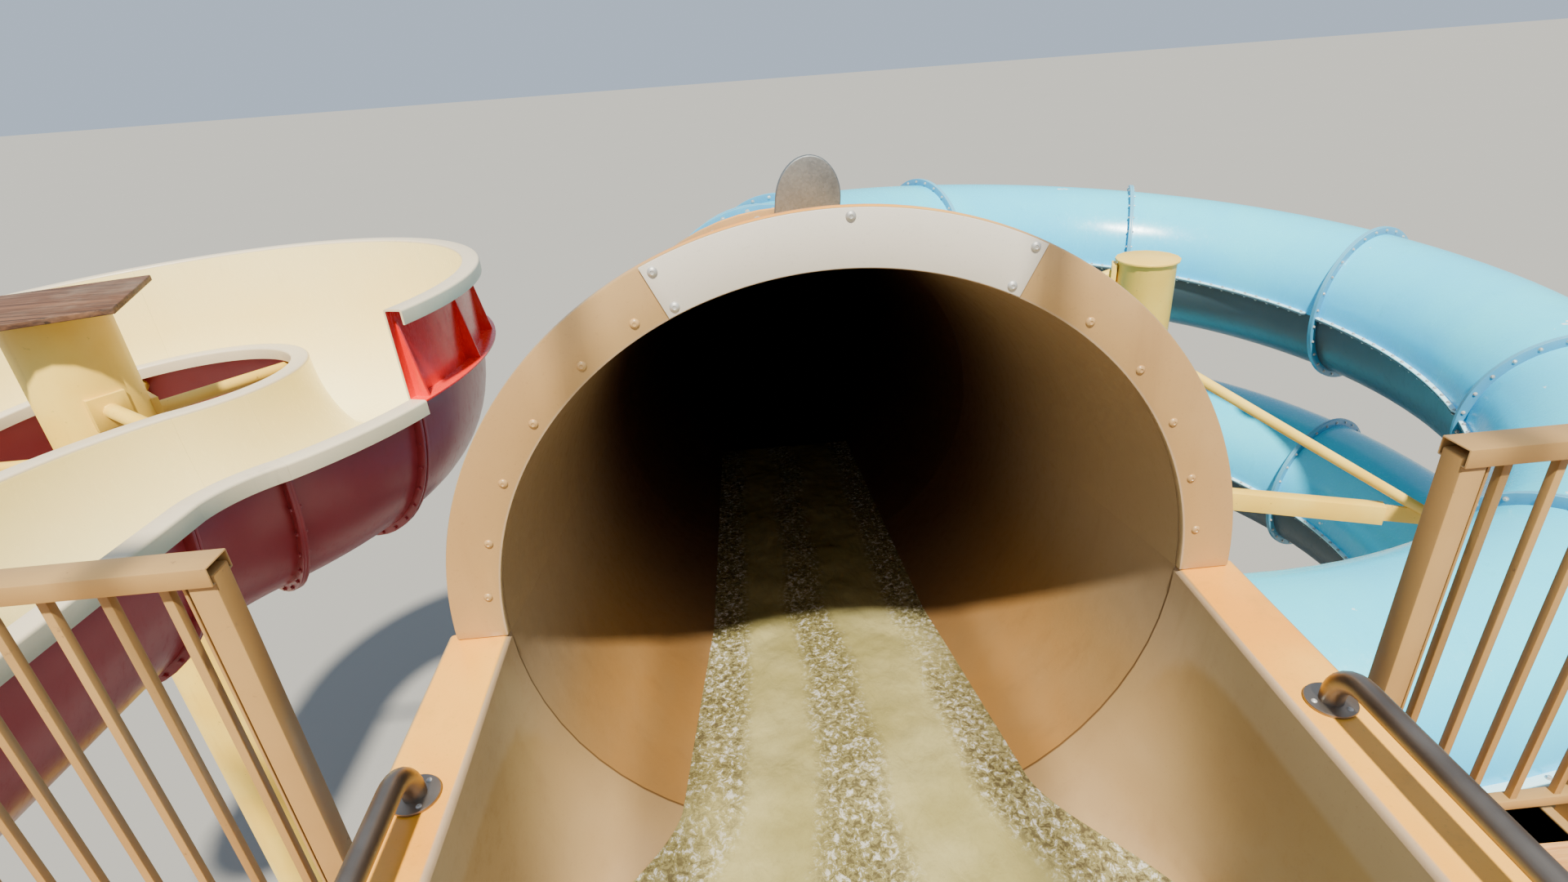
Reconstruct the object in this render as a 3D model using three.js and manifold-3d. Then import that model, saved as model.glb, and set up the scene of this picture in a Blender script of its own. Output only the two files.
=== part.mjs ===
// Water slide tower: a timber deck on tall posts, a moulded start tub that feeds an enclosed
// tube slide wound twice round a steel column, an open flume beside it, and a stair behind.
// Millimetres, +Z up. While it is drawn, the centre of the tube's mouth is the origin:
// +Y is the way the riders leave and +X is to their right. The finished group is then moved
// so that the middle of its footprint on the ground is the origin.
import * as THREE from 'three';
import { mergeVertices } from 'three/addons/utils/BufferGeometryUtils.js';
import { ConvexGeometry } from 'three/addons/geometries/ConvexGeometry.js';
import Module from 'manifold-3d';

// Tube slide
const boreRadius = 686;
const shellWall = 14;
const tubeRadius = boreRadius + shellWall;
const flangeRadius = 770;
const flangeThickness = 22;
const seamReach = 745;
const seamHalf = 16;
const jointGap = 0.3;
const fallPerLength = 0.105;
const firstRunLength = 1610;
const secondRunLength = 2400;
const thirdRunLength = 1030;
const straightLength = firstRunLength + secondRunLength + thirdRunLength;
const straightFall = 0.17;
const coilRadius = 3150;
const entryTurn = -22.5;
const quarterTurn = -90;
const quarterCount = 6;
const arcSteps45 = 3;
const flumeSteps45 = 2;

// Deck and tower
const deckBelowMouth = 760;
const deckHeight = 6300;
const deckZ = -deckBelowMouth;
const groundZ = deckZ - deckHeight;
const plankThickness = 40;
const beamDepth = 200;
const beamWidth = 80;
const postWidth = 150;
const legWidth = 250;
const postXs = [-4400, -1990, 1810];
const frontPostY = -130;
const backPostY = -3900;
const deckOverhang = 25;
const postTopZ = 1900;
const legTopZ = deckZ - plankThickness - beamDepth;
const braceWidth = 160;
const braceThickness = 60;
const braceTopDrop = 650;

// Railings
const railTopZ = 310;
const railDeep = 64;
const railHigh = 38;
const railPost = 50;
const balusterWidth = 18;
const balusterPitch = 100;
const gateHalf = 1090;

// Start tub and what is fixed to it
const tubLength = 2400;
const tubFloorZ = -620;
const tubBlendLength = 450;
const rimInner = 680;
const rimOuter = 812;
const rimThickness = 26;
const rimLip = 70;
const collarOuter = 789;
const collarThickness = 20;
const grabX = 745;
const grabFrontY = -400;
const grabBackY = -1300;
const grabHeight = 75;
const grabRadius = 19;

// Open flume
const flumeHalf = 590;
const flumeDepth = 900;
const flumeRim = 120;
const flumeRimTop = 30;
const flumeLip = 90;
const flumeSheet = 20;
const flumeFlangeGrow = 62;
const tallWall = 547;
const flumeFall = 0.059;
const flumeStartX = -3340;
const flumeStartZ = -540;
const flumeStraight = 1970;
const rightBendRadius = 1450;
const rightBendTurn = -37.5;
const spiralRadius = 1895;
const lowTurn = 20;
const tallTurn = 65.8;
const tallTurnCount = 3;
const gussetsPerTallTurn = 4;
const gussetThickness = 14;
const flumeRunOut = 1900;

// Stair
const stairRisers = 18;
const riser = deckHeight / (2 * stairRisers);
const going = 280;
const stairWidth = 1100;
const upperLaneX = 1100;
const lowerLaneX = -150;
const landingDepth = 1200;
const stairTopY = backPostY - postWidth / 2 - deckOverhang - jointGap;
const landingFrontY = stairTopY - (stairRisers - 1) * going;
const landingZ = deckZ - deckHeight / 2;

const UP = new THREE.Vector3(0, 0, 1);
const rad = THREE.MathUtils.degToRad;

function paint(colour, roughness, metalness = 0) {
  return new THREE.MeshStandardMaterial({ color: colour, roughness, metalness });
}

const tanShell = paint(0xcaa06a, 0.4);
const blueShell = paint(0x86c6e4, 0.3);
const creamSteel = paint(0xe6cd8e, 0.5);
const tanSteel = paint(0xd8b07e, 0.5);
const redShell = paint(0x8a1f24, 0.35);
const brownTimber = paint(0x3a211a, 0.8);
const deckTimber = paint(0xc79a66, 0.8);
const stainless = paint(0x8d8580, 0.3, 1);
const galvanised = paint(0x8f979c, 0.5, 1);
const whiteSheet = paint(0xeeeeea, 0.4);

const wasm = await Module();
wasm.setup();

function solidOf(geometry) {
  const bare = geometry.clone();
  bare.deleteAttribute('normal');
  bare.deleteAttribute('uv');
  const merged = mergeVertices(bare, 0.01);
  return new wasm.Manifold(new wasm.Mesh({
    numProp: 3,
    vertProperties: new Float32Array(merged.attributes.position.array),
    triVerts: new Uint32Array(merged.index.array),
  }));
}

function geometryOf(solid) {
  const mesh = solid.getMesh();
  const geometry = new THREE.BufferGeometry();
  const positions = new Float32Array(mesh.vertProperties);
  geometry.setAttribute('position', new THREE.BufferAttribute(positions, 3));
  geometry.setIndex(new THREE.BufferAttribute(new Uint32Array(mesh.triVerts), 1));
  return geometry;
}

function join(geometries) {
  return geometryOf(geometries.map(solidOf).reduce((sum, next) => sum.add(next)));
}

function cut(geometry, tools) {
  return geometryOf(tools.map(solidOf).reduce((rest, tool) => rest.subtract(tool), solidOf(geometry)));
}

function block(x0, x1, y0, y1, z0, z1) {
  return new THREE.BoxGeometry(x1 - x0, y1 - y0, z1 - z0)
    .translate((x0 + x1) / 2, (y0 + y1) / 2, (z0 + z1) / 2);
}

// A straight bar between two points, width across and depth in the plane that holds UP.
function bar(from, to, width, depth) {
  const along = new THREE.Vector3().subVectors(to, from);
  const length = along.length();
  along.normalize();
  const across = new THREE.Vector3().crossVectors(along, Math.abs(along.z) > 0.999
    ? new THREE.Vector3(0, 1, 0) : UP).normalize();
  const deep = new THREE.Vector3().crossVectors(across, along);
  const turn = new THREE.Matrix4().makeBasis(across, along, deep);
  return new THREE.BoxGeometry(width, length, depth)
    .applyMatrix4(turn)
    .translate((from.x + to.x) / 2, (from.y + to.y) / 2, (from.z + to.z) / 2);
}

function pipe(from, to, radius, sides = 10) {
  const length = from.distanceTo(to);
  const along = new THREE.Vector3().subVectors(to, from).normalize();
  const turn = new THREE.Quaternion().setFromUnitVectors(new THREE.Vector3(0, 1, 0), along);
  return new THREE.CylinderGeometry(radius, radius, length, sides)
    .applyQuaternion(turn)
    .translate((from.x + to.x) / 2, (from.y + to.y) / 2, (from.z + to.z) / 2);
}

// One length of slide: it starts at the origin heading +Y, turns evenly by turn degrees (left
// is positive) or runs straight, and falls evenly. Every cross-section is drawn in an upright
// plane, so neighbours meet face to face where the slope changes too.
class Run extends THREE.Curve {
  constructor(length, turn, fall, from = 0, to = length) {
    super();
    Object.assign(this, { runLength: length, turn: rad(turn), fall, from, to });
  }

  headingAt(s) {
    return this.turn * s / this.runLength;
  }

  getPoint(t, target = new THREE.Vector3()) {
    const s = this.from + (this.to - this.from) * t;
    if (this.turn === 0) {
      return target.set(0, s, -this.fall * s);
    }
    const radius = this.runLength / this.turn;
    const angle = this.headingAt(s);
    return target.set(-radius * (1 - Math.cos(angle)), radius * Math.sin(angle), -this.fall * s);
  }

  getTangent(t, target = new THREE.Vector3()) {
    const angle = this.headingAt(this.from + (this.to - this.from) * t);
    return target.set(-Math.sin(angle), Math.cos(angle), 0);
  }

  getPointAt(t, target) {
    return this.getPoint(t, target);
  }

  computeFrenetFrames(segments) {
    const tangents = [];
    const normals = [];
    const binormals = [];
    for (let i = 0; i <= segments; i += 1) {
      const tangent = this.getTangent(i / segments);
      tangents.push(tangent);
      normals.push(new THREE.Vector3().crossVectors(UP, tangent));
      binormals.push(UP.clone());
    }
    return { tangents, normals, binormals };
  }

  part(from, to) {
    return new Run(this.runLength, THREE.MathUtils.radToDeg(this.turn), this.fall, from, to);
  }

  // Where the next length begins, for a length placed at start with the given heading.
  endFrom(start, heading) {
    const full = this.part(0, this.runLength).getPoint(1).applyAxisAngle(UP, heading);
    return { position: start.clone().add(full), heading: heading + this.turn };
  }
}

function sweep(shape, run, steps) {
  return new THREE.ExtrudeGeometry(shape, { steps, extrudePath: run, bevelEnabled: false });
}

function stepsFor(run, steps45 = arcSteps45) {
  return Math.max(1, Math.round(Math.abs(run.turn) / rad(45) * steps45));
}

// Tube cross-sections. The seam angle leaves room for the bolted flanges between half shells.
const seamAngle = Math.asin(seamHalf / tubeRadius);
const halfSides = 8;

function halfArc(radius, startAngle) {
  const points = [];
  for (let i = 0; i <= halfSides; i += 1) {
    const angle = startAngle + seamAngle + (Math.PI - 2 * seamAngle) * i / halfSides;
    points.push(new THREE.Vector2(radius * Math.cos(angle), radius * Math.sin(angle)));
  }
  return points;
}

function fullRing(radius) {
  return [...halfArc(radius, 0), ...halfArc(radius, Math.PI)];
}

function tubeShape() {
  const left = [new THREE.Vector2(-seamReach, seamHalf), new THREE.Vector2(-seamReach, -seamHalf)];
  const right = [new THREE.Vector2(seamReach, -seamHalf), new THREE.Vector2(seamReach, seamHalf)];
  return new THREE.Shape([
    ...halfArc(tubeRadius, 0), ...left, ...halfArc(tubeRadius, Math.PI), ...right]);
}

// A tube length with a bolted flange at both ends, and at each whole 45 degrees between.
function tubeLength(run) {
  const length = run.runLength;
  const inFlange = flangeThickness / 2;
  const pieces = [sweep(tubeShape(), run.part(inFlange, length - inFlange), stepsFor(run))];
  const flange = new THREE.Shape(fullRing(flangeRadius));
  const joints = Math.max(1, Math.round(Math.abs(run.turn) / rad(45)));
  for (let i = 0; i <= joints; i += 1) {
    const at = length * i / joints;
    const low = i === 0 ? jointGap / 2 : at - flangeThickness;
    const high = i === joints ? length - jointGap / 2 : at + flangeThickness;
    pieces.push(sweep(flange, run.part(low, high), 1));
  }
  const bore = sweep(new THREE.Shape(fullRing(boreRadius)), run.part(-inFlange, length + inFlange),
    stepsFor(run));
  return cut(join(pieces), [bore]);
}

const group = new THREE.Group();

function place(name, geometry, material, position = new THREE.Vector3(), turnZ = 0) {
  const mesh = new THREE.Mesh(geometry, material);
  mesh.name = name;
  mesh.position.copy(position);
  mesh.rotation.z = turnZ;
  group.add(mesh);
}

// Places one length after another and gives back where each joint is.
function chain(start, heading, lengths) {
  let position = start.clone();
  let angle = heading;
  const joints = [{ position: position.clone(), heading: angle }];
  for (const { name, run, geometry, material } of lengths) {
    place(name, geometry, material, position, angle);
    const next = run.endFrom(position, angle);
    position = next.position;
    angle = next.heading;
    joints.push({ position: position.clone(), heading: angle });
  }
  return joints;
}

function arcLength(radius, degrees) {
  return radius * Math.abs(rad(degrees));
}

function tubeSlide() {
  const straight = (length) => new Run(length, 0, straightFall);
  const entry = new Run(arcLength(coilRadius, entryTurn), entryTurn, fallPerLength);
  const quarter = new Run(arcLength(coilRadius, quarterTurn), quarterTurn, fallPerLength);
  const lengths = [
    { name: 'tube_first_length', run: straight(firstRunLength), material: tanShell },
    { name: 'tube_second_length', run: straight(secondRunLength), material: blueShell },
    { name: 'tube_third_length', run: straight(thirdRunLength), material: blueShell },
    { name: 'tube_entry_bend', run: entry, material: blueShell },
  ];
  for (let i = 1; i <= quarterCount; i += 1) {
    lengths.push({ name: `tube_coil_quarter_${i}`, run: quarter, material: blueShell });
  }
  const quarterGeometry = tubeLength(quarter);
  for (const item of lengths) {
    item.geometry = item.run === quarter ? quarterGeometry : tubeLength(item.run);
  }
  return chain(new THREE.Vector3(0, 0, 0), 0, lengths);
}

// The column in the middle of the coil, with a flat cap, and the arms that carry the joints.
const coilCentre = new THREE.Vector2(coilRadius, straightLength);
const columnRadius = 228;
const columnTopZ = -780;
const capThickness = 20;
const armDepth = 170;
const armWidth = 110;
const armReach = 2100;
const plateThickness = 24;
const stayRadius = 45;
const stayRise = 1200;
const stayReach = 2450;

function coilColumn() {
  const height = columnTopZ - groundZ;
  const foot = new THREE.CylinderGeometry(400, 400, 30, 16).rotateX(Math.PI / 2).translate(0, 0, 15);
  const shaft = new THREE.CylinderGeometry(columnRadius, columnRadius, height, 16)
    .rotateX(Math.PI / 2).translate(0, 0, height / 2);
  const cap = new THREE.CylinderGeometry(columnRadius + 22, columnRadius + 22, capThickness, 16)
    .rotateX(Math.PI / 2).translate(0, 0, height + capThickness / 2 - 1);
  place('coil_column', join([foot, shaft, cap]), creamSteel,
    new THREE.Vector3(coilCentre.x, coilCentre.y, groundZ));
}

// One arm, drawn along +X from the column's axis, with the joint's centre at height jointZ.
function armPieces(jointZ) {
  const topZ = jointZ - flangeRadius - 40;
  const midZ = topZ - armDepth / 2;
  const start = columnRadius + 12;
  const stayTopZ = Math.min(topZ + stayRise, columnTopZ - 120);
  return [
    block(start, armReach, -armWidth / 2, armWidth / 2, topZ - armDepth, topZ),
    block(armReach - 150, coilRadius + 120, -plateThickness / 2, plateThickness / 2,
      topZ - armDepth + 20, topZ - 4),
    block(coilRadius - 130, coilRadius + 130, -flangeThickness, flangeThickness,
      topZ - 30, topZ + 40 - jointGap - flangeThickness * fallPerLength),
    pipe(new THREE.Vector3(start + 20, 0, stayTopZ), new THREE.Vector3(stayReach, 0, midZ + 20), stayRadius),
  ];
}

// The arms of one side share a channel that is welded down the column.
function coilBracket(name, bearing, jointZs) {
  const start = columnRadius + jointGap;
  const topZ = Math.min(jointZs[0] - flangeRadius - 40 + stayRise, columnTopZ - 120) + 90;
  const lowZ = jointZs[jointZs.length - 1] - flangeRadius - 40 - armDepth - 60;
  const channel = block(start, start + 40, -80, 80, lowZ, topZ);
  const pieces = [channel, ...jointZs.flatMap(armPieces)];
  place(name, join(pieces), creamSteel, new THREE.Vector3(coilCentre.x, coilCentre.y, 0), bearing);
}

function coilBrackets() {
  const entryFall = straightFall * straightLength + arcLength(coilRadius, entryTurn) * fallPerLength;
  const eighthFall = arcLength(coilRadius, 45) * fallPerLength;
  const firstBearing = rad(180 + entryTurn);
  const sides = [['a', [0, 8]], ['b', [2, 10]], ['c', [4, 12]], ['d', [6]]];
  for (const [letter, joints] of sides) {
    const heights = joints.map((joint) => -entryFall - eighthFall * joint);
    coilBracket(`coil_bracket_${letter}`, firstBearing - rad(45) * joints[0], heights);
  }
}

// Start tub: a flat-floored trough whose front end closes in to the round bore.
function troughPoints(y, grow, blend, top) {
  const points = [];
  const count = 12;
  for (let i = 0; i <= count; i += 1) {
    const angle = Math.PI + Math.PI * i / count;
    const roundX = (boreRadius + grow) * Math.cos(angle);
    const roundZ = (boreRadius + grow) * Math.sin(angle);
    const boxX = Math.sign(Math.round(roundX)) * Math.min(Math.abs(roundX) * 1.45, rimInner + grow);
    const boxZ = Math.max(roundZ * 1.45, tubFloorZ - grow);
    points.push(new THREE.Vector3(
      roundX + (boxX - roundX) * blend, y, roundZ + (boxZ - roundZ) * blend));
  }
  points.push(new THREE.Vector3(-(rimInner + grow), y, top), new THREE.Vector3(rimInner + grow, y, top));
  return points;
}

function startTub() {
  const frontY = -jointGap;
  const backWall = 20;
  const outerFront = new ConvexGeometry([
    ...troughPoints(frontY, shellWall, 0, -1), ...troughPoints(-tubBlendLength, shellWall, 1, -1)]);
  const outerBack = new ConvexGeometry([
    ...troughPoints(-tubBlendLength, shellWall, 1, -1), ...troughPoints(-tubLength, shellWall, 1, -1)]);
  const rims = [-1, 1].map((side) => {
    const edges = [side * (rimInner + 8), side * rimOuter].sort((a, b) => a - b);
    const lips = [side * (rimOuter - 26), side * rimOuter].sort((a, b) => a - b);
    return [
      block(edges[0], edges[1], -tubLength, frontY, -rimThickness, 0),
      block(lips[0], lips[1], -tubLength, frontY, -rimLip, 0),
    ];
  }).flat();
  const footDepth = 70;
  const feet = [-230, -1250, -2250].map((y) => block(-600, 600, y - footDepth, y + footDepth,
    deckZ + jointGap, tubFloorZ - 8));
  const innerFront = new ConvexGeometry([
    ...troughPoints(10, 0, 0, 60), ...troughPoints(-tubBlendLength, 0, 1, 60)]);
  const innerBack = new ConvexGeometry([
    ...troughPoints(-tubBlendLength + 1, 0, 1, 60), ...troughPoints(-tubLength + backWall, 0, 1, 60)]);
  const entryHeight = 250;
  const entry = block(-rimInner, rimInner, -tubLength - 10, -tubLength + backWall + 10,
    tubFloorZ + entryHeight, 60);
  const whole = join([outerFront, outerBack, ...rims, ...feet]);
  place('start_tub', cut(whole, [innerFront, innerBack, entry]), tanShell);
}

function sectorShape(outer, inner, from, to, steps) {
  const points = [];
  for (let i = 0; i <= steps; i += 1) {
    const angle = rad(from + (to - from) * i / steps);
    points.push(new THREE.Vector2(outer * Math.cos(angle), outer * Math.sin(angle)));
  }
  for (let i = steps; i >= 0; i -= 1) {
    const angle = rad(from + (to - from) * i / steps);
    points.push(new THREE.Vector2(inner * Math.cos(angle), inner * Math.sin(angle)));
  }
  return new THREE.Shape(points);
}

// Extrudes a shape drawn in the XZ plane towards -Y, from backY.
function plateFacing(shape, backY, thickness) {
  return new THREE.ExtrudeGeometry(shape, { depth: thickness, bevelEnabled: false })
    .rotateX(Math.PI / 2)
    .translate(0, backY, 0);
}

function entryCollar() {
  const shape = sectorShape(collarOuter, boreRadius, 0.03, 179.97, 24);
  place('entry_collar', plateFacing(shape, -jointGap, collarThickness), tanShell);
}

function signPlate() {
  const shape = sectorShape(collarOuter - 2, boreRadius + 3, 63, 114.3, 8);
  place('sign_plate', plateFacing(shape, -collarThickness - 2 * jointGap, 4), whiteSheet);
}

// The lug stands on the near face of the first joint's flange, a little right of the top.
function jointLug() {
  const lugThickness = 30;
  const half = 115;
  const base = tubeRadius + 12;
  const tip = 955;
  const onBase = (x) => new THREE.Vector2(x, Math.sqrt(base * base - x * x));
  const shape = new THREE.Shape([
    onBase(-half), onBase(-half / 2), onBase(0), onBase(half / 2), onBase(half),
    new THREE.Vector2(half, tip - 150),
    new THREE.Vector2(half * 0.8, tip - 72),
    new THREE.Vector2(half * 0.4, tip - 14),
    new THREE.Vector2(0, tip),
    new THREE.Vector2(-half * 0.4, tip - 14),
    new THREE.Vector2(-half * 0.8, tip - 72),
    new THREE.Vector2(-half, tip - 150),
  ]);
  const backY = firstRunLength - flangeThickness - jointGap;
  const lug = plateFacing(shape, 0, lugThickness).rotateY(rad(7));
  place('joint_lug', lug, galvanised,
    new THREE.Vector3(0, backY, -straightFall * firstRunLength));
}

function grabRail(name, side) {
  const bend = 60;
  const path = new THREE.CurvePath();
  const low = new THREE.Vector3(0, grabFrontY, 3);
  const rise = new THREE.Vector3(0, grabFrontY, grabHeight - bend);
  const frontTop = new THREE.Vector3(0, grabFrontY - bend, grabHeight);
  const backTop = new THREE.Vector3(0, grabBackY + bend, grabHeight);
  const fall = new THREE.Vector3(0, grabBackY, grabHeight - bend);
  const end = new THREE.Vector3(0, grabBackY, 3);
  path.add(new THREE.LineCurve3(low, rise));
  path.add(new THREE.QuadraticBezierCurve3(rise, new THREE.Vector3(0, grabFrontY, grabHeight), frontTop));
  path.add(new THREE.LineCurve3(frontTop, backTop));
  path.add(new THREE.QuadraticBezierCurve3(backTop, new THREE.Vector3(0, grabBackY, grabHeight), fall));
  path.add(new THREE.LineCurve3(fall, end));
  const round = new THREE.Shape().absarc(0, 0, grabRadius, 0, 2 * Math.PI);
  const options = { steps: 22, extrudePath: path, bevelEnabled: false, curveSegments: 4 };
  const tube = new THREE.ExtrudeGeometry(round, options);
  const discs = [grabFrontY, grabBackY].map((y) => new THREE.CylinderGeometry(40, 40, 7, 12)
    .rotateX(Math.PI / 2).translate(0, y, 3.5 + jointGap));
  place(name, join([tube, ...discs]), stainless, new THREE.Vector3(side * grabX, 0, 0));
}

// Deck, posts and frame
const deckLeftX = postXs[0] - postWidth / 2 - deckOverhang;
const deckRightX = postXs[2] + postWidth / 2 + deckOverhang;
const deckFrontY = frontPostY + postWidth / 2 + 5;
const deckBackY = backPostY - postWidth / 2 - deckOverhang;

function postNotches(z0, z1) {
  const half = postWidth / 2 + jointGap;
  return postXs.flatMap((x) => [frontPostY, backPostY].map((y) => block(
    x - half, x + half, y - half, y + half, z0, z1)));
}

function deck() {
  const slab = block(deckLeftX, deckRightX, deckBackY, deckFrontY, deckZ - plankThickness, deckZ);
  place('deck_planks', cut(slab, postNotches(deckZ - 100, deckZ + 100)), deckTimber);
  const topZ = deckZ - plankThickness - jointGap;
  const bottomZ = legTopZ + jointGap;
  const frontY = frontPostY - postWidth / 2 - jointGap;
  const backY = backPostY + postWidth / 2 + jointGap;
  const leftX = postXs[0] + postWidth / 2 + jointGap;
  const rightX = postXs[2] - postWidth / 2 - jointGap;
  const longBeams = [frontY - beamWidth, (frontY + backY - beamWidth) / 2, backY].map((y) => block(
    deckLeftX + 10, deckRightX - 10, y, y + beamWidth, bottomZ, topZ));
  const joistCount = 8;
  const joists = [];
  for (let i = 0; i < joistCount; i += 1) {
    const x = leftX + (rightX - beamWidth - leftX) * i / (joistCount - 1);
    joists.push(block(x, x + beamWidth, backY + 10, frontY - 10, bottomZ + 30, topZ));
  }
  place('deck_frame', join([...longBeams, ...joists]), brownTimber);
}

function towerPosts() {
  const rows = [['front', frontPostY], ['back', backPostY]];
  const columns = [['left', postXs[0]], ['middle', postXs[1]], ['right', postXs[2]]];
  for (const [row, y] of rows) {
    for (const [column, x] of columns) {
      const leg = block(-legWidth / 2, legWidth / 2, -legWidth / 2, legWidth / 2, groundZ, legTopZ);
      const post = block(-postWidth / 2, postWidth / 2, -postWidth / 2, postWidth / 2,
        legTopZ - 10, postTopZ);
      place(`post_${row}_${column}`, join([leg, post]), brownTimber, new THREE.Vector3(x, y, 0));
    }
  }
}

function headFrame() {
  const overhang = 350;
  const beamHigh = 180;
  const z0 = postTopZ + jointGap;
  const beams = [frontPostY, backPostY].map((y) => block(
    postXs[0] - overhang, postXs[2] + overhang, y - 40, y + 40, z0, z0 + beamHigh));
  const rafterCount = 9;
  const rafters = [];
  for (let i = 0; i < rafterCount; i += 1) {
    const x = postXs[0] - 200 + (postXs[2] - postXs[0] + 400) * i / (rafterCount - 1);
    rafters.push(block(x - 25, x + 25, backPostY - overhang, frontPostY + overhang,
      z0 + beamHigh - 60, z0 + beamHigh + 80));
  }
  place('head_frame', join([...beams, ...rafters]), brownTimber);
}

// Crossed diagonals with ties above and below, flat on the outer faces of the legs.
function bracedSide(spans, toPoint) {
  const lowZ = groundZ + 500;
  const highZ = legTopZ - braceTopDrop;
  const midZ = (lowZ + highZ) / 2;
  const pieces = [];
  const first = spans[0][0];
  const last = spans[spans.length - 1][1];
  for (const z of [lowZ, midZ, highZ]) {
    pieces.push(bar(toPoint(first, z), toPoint(last, z), braceThickness, braceWidth));
  }
  for (const [a, b] of spans) {
    for (const [z0, z1] of [[lowZ, midZ], [midZ, highZ]]) {
      pieces.push(bar(toPoint(a, z0), toPoint(b, z1), braceThickness, braceWidth));
      pieces.push(bar(toPoint(a, z1), toPoint(b, z0), braceThickness, braceWidth));
    }
  }
  return join(pieces);
}

function bracing() {
  const off = legWidth / 2 + braceThickness / 2 + jointGap;
  const spansX = [[postXs[0], postXs[1]], [postXs[1], postXs[2]]];
  const spansY = [[backPostY, frontPostY]];
  const facing = {
    brace_front: (x, z) => new THREE.Vector3(x, frontPostY + off, z),
    brace_back: (x, z) => new THREE.Vector3(x, backPostY + off, z),
    brace_left: (y, z) => new THREE.Vector3(postXs[0] - off, y, z),
    brace_right: (y, z) => new THREE.Vector3(postXs[2] + off, y, z),
  };
  place('brace_front', bracedSide(spansX, facing.brace_front), brownTimber);
  place('brace_back', bracedSide(spansX, facing.brace_back), brownTimber);
  place('brace_left', bracedSide(spansY, facing.brace_left), brownTimber);
  place('brace_right', bracedSide(spansY, facing.brace_right), brownTimber);
}

// A railing panel drawn along +X from 0 to length, standing on z = 0.
function railingPanel(length, height, fall = 0) {
  const at = (x, z) => new THREE.Vector3(x, 0, z - fall * x);
  const slope = Math.sqrt(1 + fall * fall);
  const topMid = height - railHigh / 2;
  const lowMid = 90;
  const pieces = [
    bar(at(0, topMid), at(length, topMid), railDeep, railHigh),
    bar(at(railPost / 2, lowMid), at(length - railPost / 2, lowMid), 30, 30),
  ];
  const bays = Math.max(1, Math.round(length / 1900));
  for (let i = 0; i <= bays; i += 1) {
    const x = railPost / 2 + (length - railPost) * i / bays;
    pieces.push(block(x - railPost / 2, x + railPost / 2, -railPost / 2, railPost / 2,
      -fall * x, height - fall * x - railHigh * slope / 2));
  }
  const count = Math.round(length / balusterPitch);
  for (let i = 1; i < count; i += 1) {
    const x = length * i / count;
    pieces.push(block(x - balusterWidth / 2, x + balusterWidth / 2, -balusterWidth / 2,
      balusterWidth / 2, lowMid - fall * x, topMid - fall * x));
  }
  return join(pieces);
}

const railHeight = railTopZ - deckZ;

function railing(name, x, y, length, bearing) {
  place(name, railingPanel(length, railHeight), tanSteel,
    new THREE.Vector3(x, y, deckZ + jointGap), rad(bearing));
}

function deckRailings() {
  const clear = postWidth / 2 + 4;
  const frontLeft = postXs[1] + clear;
  const frontRight = postXs[2] - clear;
  railing('railing_front_left', frontLeft, frontPostY, -gateHalf - frontLeft, 0);
  railing('railing_front_right', gateHalf, frontPostY, frontRight - gateHalf, 0);
  const sideLength = frontPostY - backPostY - 2 * clear;
  railing('railing_left', postXs[0], backPostY + clear, sideLength, 90);
  railing('railing_right', postXs[2], backPostY + clear, sideLength, 90);
  const backLeft = postXs[0] + clear;
  const flumeEdge = flumeHalf + flumeRim + 15;
  const nearFlume = flumeStartX + flumeEdge;
  railing('railing_flume_right', nearFlume, frontPostY, postXs[1] - clear - nearFlume, 0);
  railing('railing_flume_left', postXs[0] + clear, frontPostY,
    flumeStartX - flumeEdge - postXs[0] - clear, 0);
  railing('railing_back_left', backLeft, backPostY, postXs[1] - clear - backLeft, 0);
  const backMiddle = postXs[1] + clear;
  railing('railing_back_middle', backMiddle, backPostY, upperLaneX - stairWidth / 2 - 60 - backMiddle, 0);
}

// A guard of three rails between posts, drawn from one point to another along its foot line.
function threeRailGuard(from, to, bays) {
  const pieces = [];
  const lift = (point, height) => new THREE.Vector3(point.x, point.y, point.z + height);
  pieces.push(bar(lift(from, railHeight - railHigh / 2), lift(to, railHeight - railHigh / 2),
    railDeep, railHigh));
  for (const height of [railHeight * 0.37, railHeight * 0.68]) {
    pieces.push(bar(lift(from, height), lift(to, height), 30, 30));
  }
  for (let i = 0; i <= bays; i += 1) {
    const foot = new THREE.Vector3().lerpVectors(from, to, i / bays);
    const half = railPost / 2;
    pieces.push(block(foot.x - half, foot.x + half, foot.y - half, foot.y + half,
      foot.z, foot.z + railHeight - railHigh));
  }
  return pieces;
}

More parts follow.
